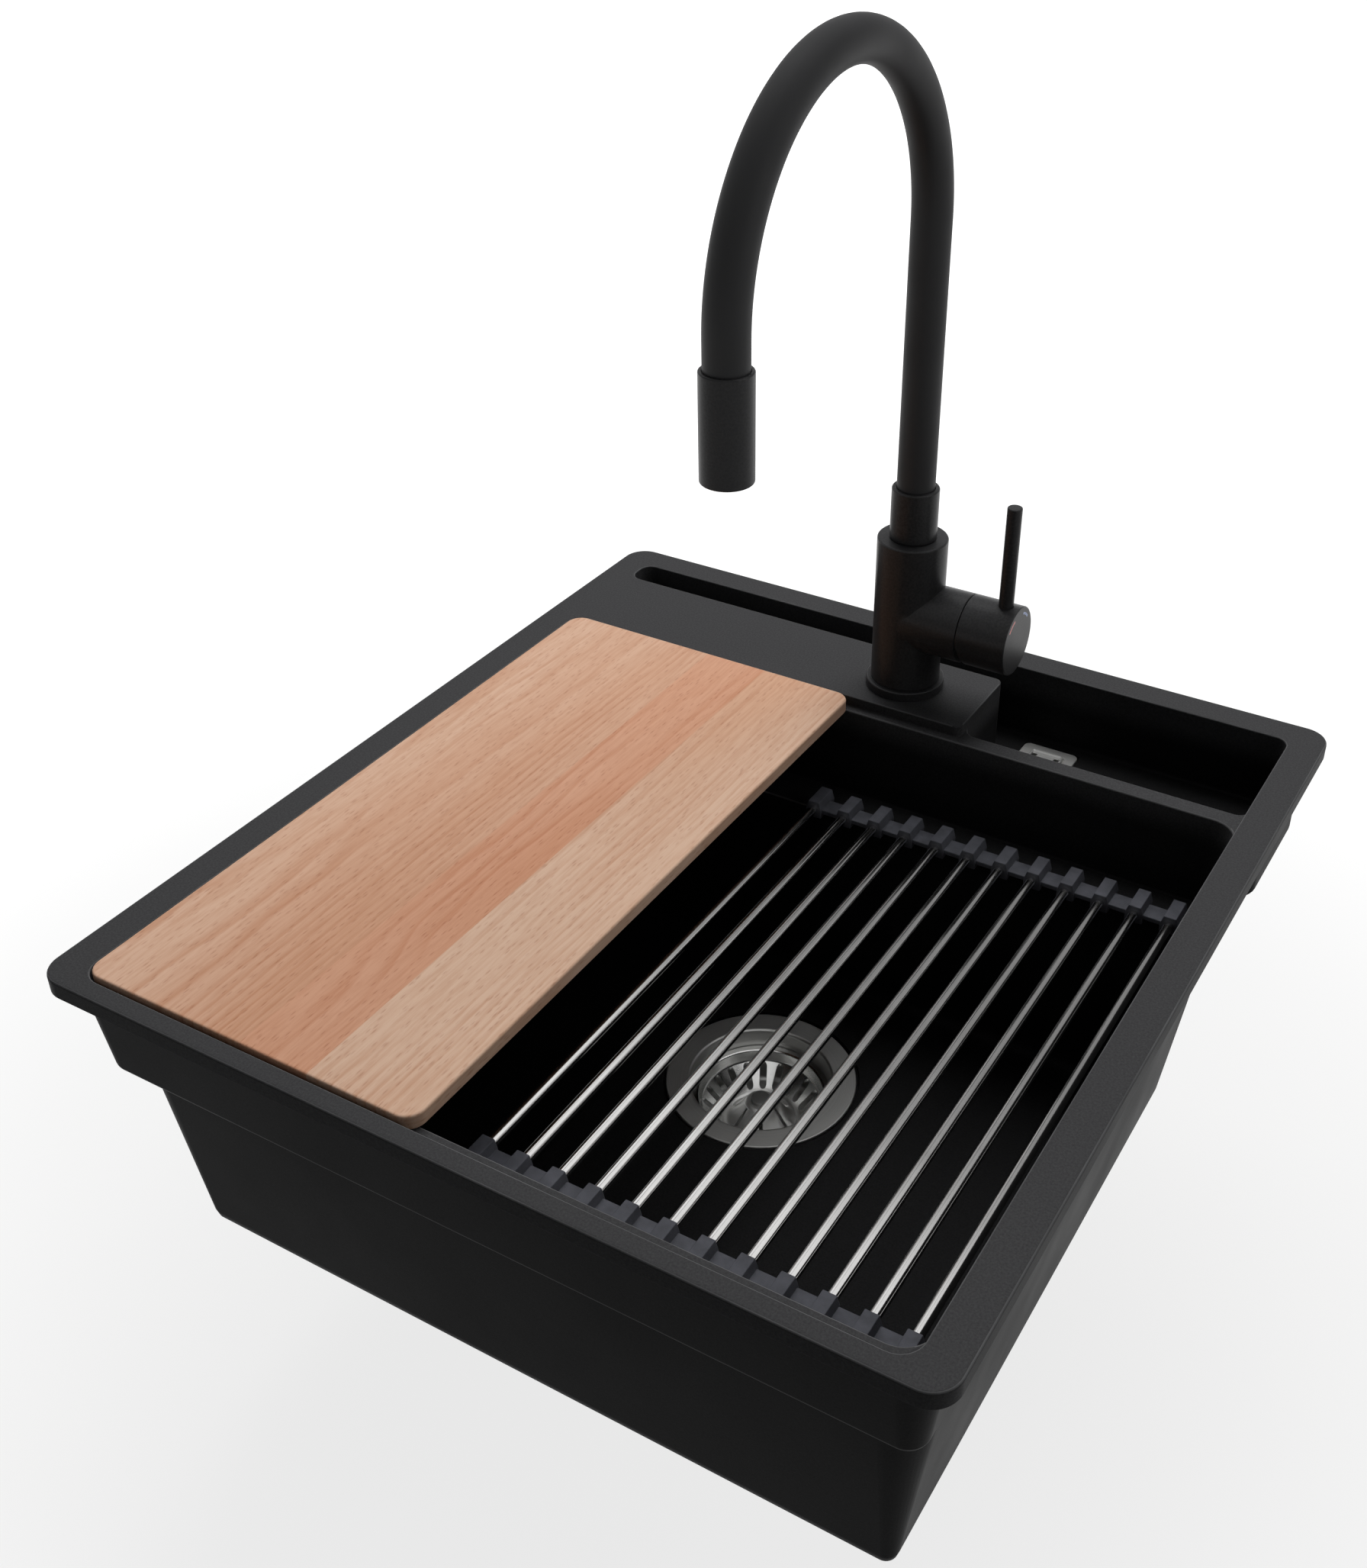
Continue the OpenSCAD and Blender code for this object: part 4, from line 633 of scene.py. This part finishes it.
def petal(turn, long_steps=14, wide_steps=9):
    """One petal of the flower: across it the edges bend down, along it the metal falls from hub to floor.

    At the share s of its length the middle lies at radius 7 + 16 s and depth 19 + 16.3 (3 s^2 - 2 s^3);
    at the share t of its half width the point drops by 1.1 t^4 sin(pi s) more. The sheet is 1.2 thick.
    """
    s = np.linspace(0, 1, long_steps)[:, None]
    t = np.linspace(-1, 1, wide_steps)[None]
    radius = 7 + 16 * s + 0 * t
    half = (0.43 + 0.03 * s) * t
    depth = 19.0 + 16.3 * (3 * s ** 2 - 2 * s ** 3) + 1.1 * t ** 4 * np.sin(np.pi * s)
    x, y = radius * np.cos(turn + half), radius * np.sin(turn + half)
    upper = np.stack([x, y, -depth], -1)
    lower = np.stack([x, y, -depth - sheet], -1)
    return solid(np.concatenate([upper, lower[:, ::-1]], 1) + np.asarray(drain_at, float))


hub = outline([(3.05, -19), (8.6, -19), (10.2, -20.2), (10.2, -21.2), (3.05, -20.2)],
              [0.1, 1.4, 0.8, 0.3, 0.1], 5)
flower = mesh_object("strainer_flower", spun(hub, drain_at, turns=64, ring=True),
                     *[petal((k + 0.5) * np.pi / 3) for k in range(6)])
for piece in (basket, flower):
    dressed(piece, bright_press, "basket", crease=40)
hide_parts("basket")

# Turned stainless post: its flat disc is satin, with turned rings half a millimetre apart.
disc_steel, node, at = material("satin_disc_stainless")
centred = node("Mapping", {"Vector": at, "Location": (0.0, -waste_y * 0.001, 0.0)})
rings = node("TexWave", {"Vector": centred, "Scale": 640.0, "Distortion": 0.6}, wave_type="RINGS",
             rings_direction="Z")
tone = node("ValToRGB", {"Fac": rings.outputs["Fac"]}, stops=[(0.0, "#9a9a99"), (1.0, "#a8a8a7")])
bump = node("Bump", {"Height": rings.outputs["Fac"], "Strength": 0.15, "Distance": 0.0001})
skin = node("BsdfPrincipled", {"Base Color": tone, "Metallic": 1.0, "Roughness": 0.5, "Normal": bump})
node("OutputMaterial", {"Surface": skin})
post = mesh_object("basket_post_and_disc", spun(
    [(0.4, -16.8), (5.5, -16.8), (5.9, -17), (6, -17.4), (6, -18.9), (5.8, -19), (3, -19), (3, -40),
     (2.6, -40.5), (0.4, -40.5)], drain_at, turns=64))
dressed(post, disc_steel, "basket", ["basket_post"])

# ---- seals, nuts and pipes below
# Under the bowl: rubber rings, a lobed plastic nut on the cup, a thin steel tailpiece held by an
# eight-sided slip nut, and the rubber stopper on the basket's post.
def mottled(name, noise, stops, relief=None, gloss=None, stretch=None, **skin):
    """A finish with one noise, which tints it and may give a bump and the roughness.

    Relief is the bump's strength and depth, gloss the two ends of the roughness, and stretch multiplies
    the coordinates.
    """
    made, node, at = material(name)
    if stretch:
        at = node("VectorMath", {0: at, 1: stretch}, operation="MULTIPLY")
    spots = node("TexNoise", {"Vector": at, **noise})
    skin["Base Color"] = node("ValToRGB", {"Fac": spots}, stops=stops)
    if gloss:
        skin["Roughness"] = node("MapRange", {"Value": spots}, limits=(0.3, 0.7, *gloss))
    if relief:
        skin["Normal"] = node("Bump", {"Height": spots, "Strength": relief[0], "Distance": relief[1]})
    node("OutputMaterial", {"Surface": node("BsdfPrincipled", skin)})
    return made


# Moulded seal rubber: black, matt, slightly dusty.
seal_rubber = mottled("moulded_seal_rubber", {"Scale": 180.0, "Detail": 4.0},
                      [(0.35, "#212124"), (0.7, "#2e2e32")], (0.12, 0.0002), Roughness=0.75)
refinish(seal_rubber, "drain_top_seal", "drain_lower_seal", "basket_stopper", "tray_drain_seal",
         "tap_washer")

# Moulded polypropylene: off-white and waxy, with a trace of flow marks.
waxy = mottled("moulded_polypropylene", {"Scale": 70.0, "Detail": 3.0, "Distortion": 1.2},
               [(0.3, "#d9d9d4"), (0.7, "#e4e4e0")], (0.08, 0.0004), (0.42, 0.55), IOR=1.49)

# The waste nut: a ring of radius 56.5 whose rim swells into eight lobes. Its radius at the turn t is
# 56.5 + 4.2 times the fourth power of |cos 4t|, so that each lobe is broad and the hollows are flat.
turn = np.linspace(0, 2 * np.pi, 160, endpoint=False)
lobes = 4.2 * np.abs(np.cos(4 * turn)) ** 4
section = np.array([(45.6, -193.3), (46, -193), (56, -193), (56.5, -193.5), (56.5, -202.5), (56, -203),
                    (46, -203), (45.6, -202.7)])
outer = section[:, :1] > 50
radius = section[:, :1] + lobes * outer
loops = np.stack([radius * np.cos(turn), waste_y + radius * np.sin(turn),
                  np.broadcast_to(section[:, 1:], radius.shape)], -1)
waste_nut = mesh_object("waste_nut_with_lobes", solid(loops, ring=True))
dressed(waste_nut, waxy, "sink", ["drain_nut"])
refinish(waxy, "tailpiece_nut", "tray_drain_nut")

# Rolled and plated steel tube: soft grey shine with long draw marks.
tube_steel = mottled("plated_steel_tube", {"Scale": 1400.0, "Detail": 2.0},
                     [(0.3, "#a5a5a4"), (0.7, "#c2c2c1")], gloss=(0.22, 0.34), stretch=(1.0, 1.0, 0.02),
                     Metallic=1.0)
tail = outline([(17.4, -244.2), (21.3, -244.2), (21.3, -246), (19.4, -246), (19.4, -250), (19, -250),
                (19, -290), (17.4, -290)], [0.3, 0.3, 0.3, 0.2, 0.2, 0.1, 0.4, 0.4], 4)
pipe = mesh_object("waste_tailpiece", spun(tail, (0, waste_y, 0), turns=72, ring=True))
dressed(pipe, tube_steel, "sink", ["tailpiece"])

# ---- tray drain
# A square stainless frame flush in the tray floor, with a raised loose cover on four feet, dished inside
# a narrow lip; water runs in under its edge and through two small square holes, and leaves by a spigot.
# Satin stainless, brushed from side to side: an even light grey with a soft shine.
tray_steel = mottled("brushed_tray_stainless", {"Scale": 1300.0, "Detail": 2.0},
                     [(0.3, "#bdbdbb"), (0.7, "#cfcfcd")], (0.04, 0.0002), (0.36, 0.46), (0.03, 1.0, 1.0),
                     Metallic=0.5)
frame_top = -38.5
plate, pocket = square(18, 4, frame_top, tray_at), square(11.3, 2.8, frame_top, tray_at)
drain_frame = mesh_object("tray_drain_frame", loft(eased(
    [grown(plate, -3, frame_top), plate, grown(plate, 0, frame_top - 2), grown(plate, -3, frame_top - 2)],
    [0, 0.7, 0.2, 0])))
carved(drain_frame, "UNION", spun(
    [(2, -40), (10.5, -40), (10.5, -57.8), (10.3, -58), (9.5, -58), (9.5, -77.6), (9.1, -78), (2, -78)],
    (*tray_at, 0), turns=48))
carved(drain_frame, "DIFFERENCE",
       loft(eased([grown(pocket, 0.5, frame_top + 2), grown(pocket, 0.5, frame_top), pocket,
                   grown(pocket, 0, frame_top - 1.3)], [0, 0, 0.4, 0])),
       spun([(10.2, -39), (10.2, -40.2), (9.6, -41.5), (7.5, -47), (7.5, -80)], (*tray_at, 0), turns=48))
dressed(drain_frame, tray_steel, "sink", ["tray_drain_body"])

# The cover's underside is level with the frame's top; its feet stand on the floor of the pocket.
low, high = frame_top, frame_top + 1.6
lid = square(10.5, 2, low, tray_at)
cover = mesh_object("tray_drain_cover_plate", loft(eased(
    [grown(lid, -2, low), lid, grown(lid, 0, high), grown(lid, -2, high)], [0, 0.2, 0.6, 0])))
foot = [(0.3, low + 0.4), (1.2, low + 0.4), (1.2, low - 0.8), (1, low - 1), (0.3, low - 1)]
carved(cover, "UNION", *[spun(foot, (tray_at[0] + x, tray_at[1] + y, 0), turns=20)
                         for x in (-8.7, 8.7) for y in (-8.7, 8.7)])
holes = [square(1.95, 0.4, high, (tray_at[0] + x, tray_at[1] + 4.35)) for x in (-7.6, 7.6)]
carved(cover, "DIFFERENCE", *[
    loft(eased([grown(hole, 0.5, low + 3), grown(hole, 0.5, high), hole, grown(hole, 0, low - 1)],
               [0, 0, 0.3, 0]), 4) for hole in holes])
carved(cover, "DIFFERENCE", loft(eased([grown(lid, -0.8, low + 3), grown(lid, -0.8, high),
                                        grown(lid, -1.7, low + 0.8)], [0, 0.2, 0]), 4))
dressed(cover, tray_steel, "tray_cover", ["tray_drain_cover"])

# ---- tap body
# A cast brass body with a side branch for the cartridge, on a loose base ring; both are turned,
# blasted and powder coated matt black.
# Matt black powder coat: a soft broad shine and the faint orange peel of the coat, about 1 mm wide.
matt_coat, node, at = material("matt_black_powder_coat")
peel = node("TexNoise", {"Vector": at, "Scale": 750.0, "Detail": 1.5})
haze = node("TexNoise", {"Vector": at, "Scale": 35.0, "Detail": 3.0})
tone = node("ValToRGB", {"Fac": peel}, stops=[(0.3, "#29292a"), (0.7, "#343435")])
rough = node("MapRange", {"Value": haze}, limits=(0.3, 0.7, 0.30, 0.37))
bump = node("Bump", {"Height": peel, "Strength": 0.06, "Distance": 0.0004})
skin = node("BsdfPrincipled", {"Base Color": tone, "Roughness": rough, "IOR": 1.5,
                               "Specular IOR Level": 0.13, "Normal": bump})
node("OutputMaterial", {"Surface": skin})

# A turned solid starts `core` away from its axis, inside what is bored out or hidden.
branch_z, tap_r, core = 60, 21.5, 0.5
tap_at, branch_at = (0, tap_y, 0), (0, tap_y, branch_z)
base = outline([(16.5, 10), (24.5, 10), (24.5, 16), (16.5, 16)], [0.3, 0.4, 1.1, 0.3], 6)
base_ring = mesh_object("tap_base_collar", spun(base, tap_at, turns=96, ring=True))
dressed(base_ring, matt_coat, "sink", ["tap_base_ring"])

head = outline([(core, 100), (tap_r, 100), (tap_r, 111.6), (core, 111.6)], [0.1, 0.1, 1.1, 0.1], 6)
tall = np.vstack([[(core, 16), (tap_r - 0.4, 16), (tap_r, 16.4)],
                  [(tap_r, z) for z in np.linspace(30, 98, 6)], head[12:18], [(core, 111.6)]])
body = mesh_object("tap_body_casting", spun(tall, tap_at, turns=96))
carved(body, "UNION", spun([(core, 2), (21.48, 2), (21.48, 39.6), (21.1, 40), (core, 40)],
                           branch_at, "x", 96))
soft = body.modifiers.new("cast_fillet", "BEVEL")
soft.width, soft.segments, soft.limit_method, soft.angle_limit = 0.0034, 5, "ANGLE", math.radians(28)
soft.use_clamp_overlap, soft.harden_normals = True, False
carved(body, "DIFFERENCE",
       spun([(10.05, 93), (10.05, 113)], tap_at, turns=48),
       spun([(16.5, 14), (16.5, 28)], tap_at, turns=48),
       spun([(17.55, 12), (17.55, 42)], branch_at, "x", 72),
       spun([(6, 26), (6, 95)], tap_at, turns=32))
dressed(body, matt_coat, "sink", ["tap_body"])

# ---- shank, nuts and inlets
# The turned brass shank goes through the deck and is pulled down by a hexagon nut over a washer;
# a brass plug with two nipples for the supply hoses closes its foot. The cartridge nut is brass too.
# Turned brass: warm yellow, fine turning marks, slightly dull.
brass, node, at = material("turned_brass")
centred = node("VectorMath", {0: at, 1: (0.02, 0.02, 1.0)}, operation="MULTIPLY")
marks = node("TexNoise", {"Vector": centred, "Scale": 1600.0, "Detail": 2.0})
stain = node("TexNoise", {"Vector": at, "Scale": 60.0, "Detail": 4.0})
tone = node("ValToRGB", {"Fac": stain}, stops=[(0.3, "#a88a4e"), (0.7, "#c4a564")])
rough = node("MapRange", {"Value": marks}, limits=(0.3, 0.7, 0.26, 0.42))
bump = node("Bump", {"Height": marks, "Strength": 0.15, "Distance": 0.0002})
skin = node("BsdfPrincipled", {"Base Color": tone, "Metallic": 1.0, "Roughness": rough, "Normal": bump})
node("OutputMaterial", {"Surface": skin})
refinish(brass, "tap_shank", "tap_nut", "inlet_plug", "inlet_nipples", "cartridge_nut")

# ---- cartridge
# The ceramic cartridge that mixes the water: a pale glass-filled case with a blue-grey turning core.
# Glass-filled nylon: pale, with short fibres that show. Acetal: blue-grey, smooth, with flow marks.
case_plastic = mottled("glass_filled_nylon", {"Scale": 500.0, "Detail": 4.0},
                       [(0.3, "#cfd3d6"), (0.7, "#e4e7e9")], (0.1, 0.0002), Roughness=0.5)
core_plastic = mottled("blue_grey_acetal", {"Scale": 160.0, "Detail": 3.0},
                       [(0.3, "#73808d"), (0.7, "#8693a0")], Roughness=0.38)
refinish(case_plastic, "cartridge_housing")
refinish(core_plastic, "cartridge_carrier")
refinish(tube_steel, "lever_stem")

# ---- lever
# A cup-shaped cap clamped to the cartridge stem by a grub screw, with a plain round rod pressed into
# its top. Below its middle the seam opens in a wedge, so that the cap can tilt.
cap_start, cap_end, pin_at = 40.6, 72.0, (63, tap_y, 0)
cap_floor = cap_start + 15.4
rim_of_cap = outline([(core, cap_start), (tap_r, cap_start), (tap_r, cap_end), (core, cap_end)],
                     [0.1, 0.5, 0.9, 0.1], 6)
cup = np.vstack([[(core, cap_start)], rim_of_cap[6:18], [(core, cap_end)]])
cap = mesh_object("lever_cap_cup", spun(cup, branch_at, "x", 96))
wedge = np.array([[(cap_start + x, tap_y + y, branch_z + z)
                   for x, z in ((-2, 0), (-2, -23), (5.35, -23), (0, 0))] for y in (-30, 30)], float)
socket = oblong(cap_start - 1, cap_start + 24.7, tap_y - 3.55, tap_y + 3.55, 0.1, branch_z - 3.55)
carved(cap, "DIFFERENCE",
       spun([(17.6, cap_start - 3), (17.6, cap_floor)], branch_at, "x", 72),
       solid(wedge),
       loft([socket, grown(socket, 0, branch_z + 3.55)]),
       spun([(4.55, branch_z + 13.5), (4.55, branch_z + 21.2), (4.9, branch_z + 21.7),
             (4.9, branch_z + 24)], pin_at, turns=40),
       spun([(2.55, branch_z - 24), (2.55, branch_z - 2)], (cap_floor + 4.5, tap_y, 0), turns=24))
mark_in, mark_out, half_mark = 16.55, 18.05, np.radians(15)
for side_turn in (-1, 1):
    centre = np.radians(90 + side_turn * 36)
    sweep = np.linspace(centre - half_mark, centre + half_mark, 16)
    band = np.concatenate([np.stack([r * np.cos(t), r * np.sin(t)], -1)
                           for r, t in ((mark_in, sweep), (mark_out, sweep[::-1]))])
    carved(cap, "DIFFERENCE", solid(np.stack([
        np.stack([np.full(len(band), x), tap_y + band[:, 0], branch_z + band[:, 1]], -1)
        for x in (cap_end - 0.5, cap_end + 1)])))
dressed(cap, matt_coat, "lever", ["lever_cap"])

rod_end = outline([(0.5, 73.5), (4.5, 73.5), (4.5, 145.4), (0.5, 145.4)], [0.1, 0.3, 0.7, 0.1], 5)
lever = mesh_object("lever_pin_rod", spun(np.vstack([[(0.4, 73.5)], rod_end[5:15], [(0.4, 145.4)]]),
                                          pin_at, turns=56))
dressed(lever, matt_coat, "lever", ["lever_rod"])

# Blackened steel grub screw, hidden in the underside of the cap.
black_screw = mottled("blackened_screw_steel", {"Scale": 900.0, "Detail": 3.0},
                      [(0.3, "#3a3a3b"), (0.7, "#5a5a5b")], Metallic=1.0, Roughness=0.4)
refinish(black_screw, "lever_screw")

# Two enamel-filled arcs on the end of the cap, flush with it: red towards the front for hot, blue
# towards the rear for cold.
enamel, node, at = material("mark_enamel_red_and_blue")
split = node("SeparateXYZ", {0: at})
rear = node("Math", {0: split.outputs["Y"], 1: tap_y * 0.001}, operation="GREATER_THAN")
patch = node("TexNoise", {"Vector": at, "Scale": 900.0, "Detail": 2.0})
red = node("ValToRGB", {"Fac": patch}, stops=[(0.3, "#ec4038"), (0.7, "#f5665c")])
blue = node("ValToRGB", {"Fac": patch}, stops=[(0.3, "#5f7fc4"), (0.7, "#93abe0")])
tone = node("Mix", {0: rear, 6: red, 7: blue}, data_type="RGBA")
skin = node("BsdfPrincipled", {"Base Color": tone.outputs[2], "Roughness": 0.3})
node("OutputMaterial", {"Surface": skin})
refinish(enamel, "temperature_marks")

# ---- spout
# A collar that turns on the body carries a bent hose: a silicone sleeve with a water tube in it. It
# rises, turns over in a half circle and ends straight down in the nozzle.
ring = outline([(6.1, 93.8), (9.95, 93.8), (9.95, 111.9), (14.3, 111.9), (14.3, 144), (11.6, 144),
                (11.6, 136), (6.1, 136)], [0.2, 0.3, 0.1, 0.5, 1.1, 0.4, 0.1, 0.1], 6)
collar = mesh_object("spout_turning_collar", spun(ring, tap_at, turns=80, ring=True))
dressed(collar, matt_coat, "spout", ["spout_collar"])

# Silicone sleeve: smooth, matt, charcoal black, with a slight bloom where it is bent.
sleeve_skin, node, at = material("matt_silicone_sleeve")
bloom = node("TexNoise", {"Vector": at, "Scale": 28.0, "Detail": 4.0})
pores = node("TexNoise", {"Vector": at, "Scale": 1100.0, "Detail": 1.0})
tone = node("ValToRGB", {"Fac": bloom}, stops=[(0.3, "#242425"), (0.7, "#2b2b2c")])
rough = node("MapRange", {"Value": bloom}, limits=(0.3, 0.7, 0.52, 0.62))
bump = node("Bump", {"Height": pores, "Strength": 0.06, "Distance": 0.0002})
skin = node("BsdfPrincipled", {"Base Color": tone, "Roughness": rough, "IOR": 1.42,
                               "Specular IOR Level": 0.25, "Normal": bump})
node("OutputMaterial", {"Surface": skin})

crown_r, crown_z, foot_z, mouth_z = 108.7, 301.3, 136.0, 279.0


def hose(radius, steps=96, turns=40):
    """A round bar along the hose: up from the collar, over in a half circle and down into the nozzle.

    The middle line is (0, 200, z) going up, then (0, 91.3 + R cos a, crown + R sin a) for a from 0 to
    180 degrees, then (0, -17.4, z) going down; each ring is middle + radius (n cos t + x sin t).
    """
    a = np.linspace(0, np.pi, steps)
    up, down = np.linspace(foot_z, crown_z, 10)[:-1], np.linspace(crown_z, mouth_z, 4)[1:]
    over_y, over_z = tap_y - crown_r + crown_r * np.cos(a), crown_z + crown_r * np.sin(a)
    y = np.concatenate([np.full(len(up), float(tap_y)), over_y, np.full(len(down), tap_y - 2 * crown_r)])
    z = np.concatenate([up, over_z, down])
    tilt = np.concatenate([np.zeros(len(up)), a, np.full(len(down), np.pi)])[:, None]
    t = np.linspace(0, 2 * np.pi, turns, endpoint=False)[None]
    return np.stack([radius * np.sin(t) + 0 * tilt, y[:, None] + radius * np.cos(t) * np.cos(tilt),
                     z[:, None] + radius * np.cos(t) * np.sin(tilt)], -1)


# The outer radius is a hair under the model's 11.5, so that the crown stays inside its box.
wall = np.concatenate([hose(11.478), hose(8.5)[::-1]])
sleeve = mesh_object("spout_hose_sleeve", solid(wall, ring=True))
dressed(sleeve, sleeve_skin, "spout", ["hose_sleeve"], crease=60)

# Natural PEX water tube, hidden in the sleeve: milky and smooth.
milky = mottled("natural_pex_tube", {"Scale": 120.0, "Detail": 3.0},
                [(0.3, "#cfcfc9"), (0.7, "#dededa")], Roughness=0.35, IOR=1.51)
refinish(milky, "hose_tube")

nozzle_at = (0, tap_y - 2 * crown_r, 0)
shell_of_nozzle = outline([(11.1, 232), (13.5, 232), (13.5, 287), (11.6, 287), (11.6, 279), (6.1, 279),
                           (6.1, 244), (11.1, 244)], [0.4, 0.9, 0.9, 0.4, 0.1, 0.2, 0.2, 0.1], 6)
nozzle = mesh_object("spout_nozzle", spun(shell_of_nozzle, nozzle_at, turns=72, ring=True))
dressed(nozzle, matt_coat, "spout", ["nozzle_shell"])

# Grey acetal aerator: a small perforated insert in the mouth of the nozzle.
aerator_grey = mottled("grey_acetal_aerator", {"Scale": 400.0, "Detail": 4.0},
                       [(0.35, "#66666a"), (0.75, "#7d7d81")], Roughness=0.42)
refinish(aerator_grey, "aerator")
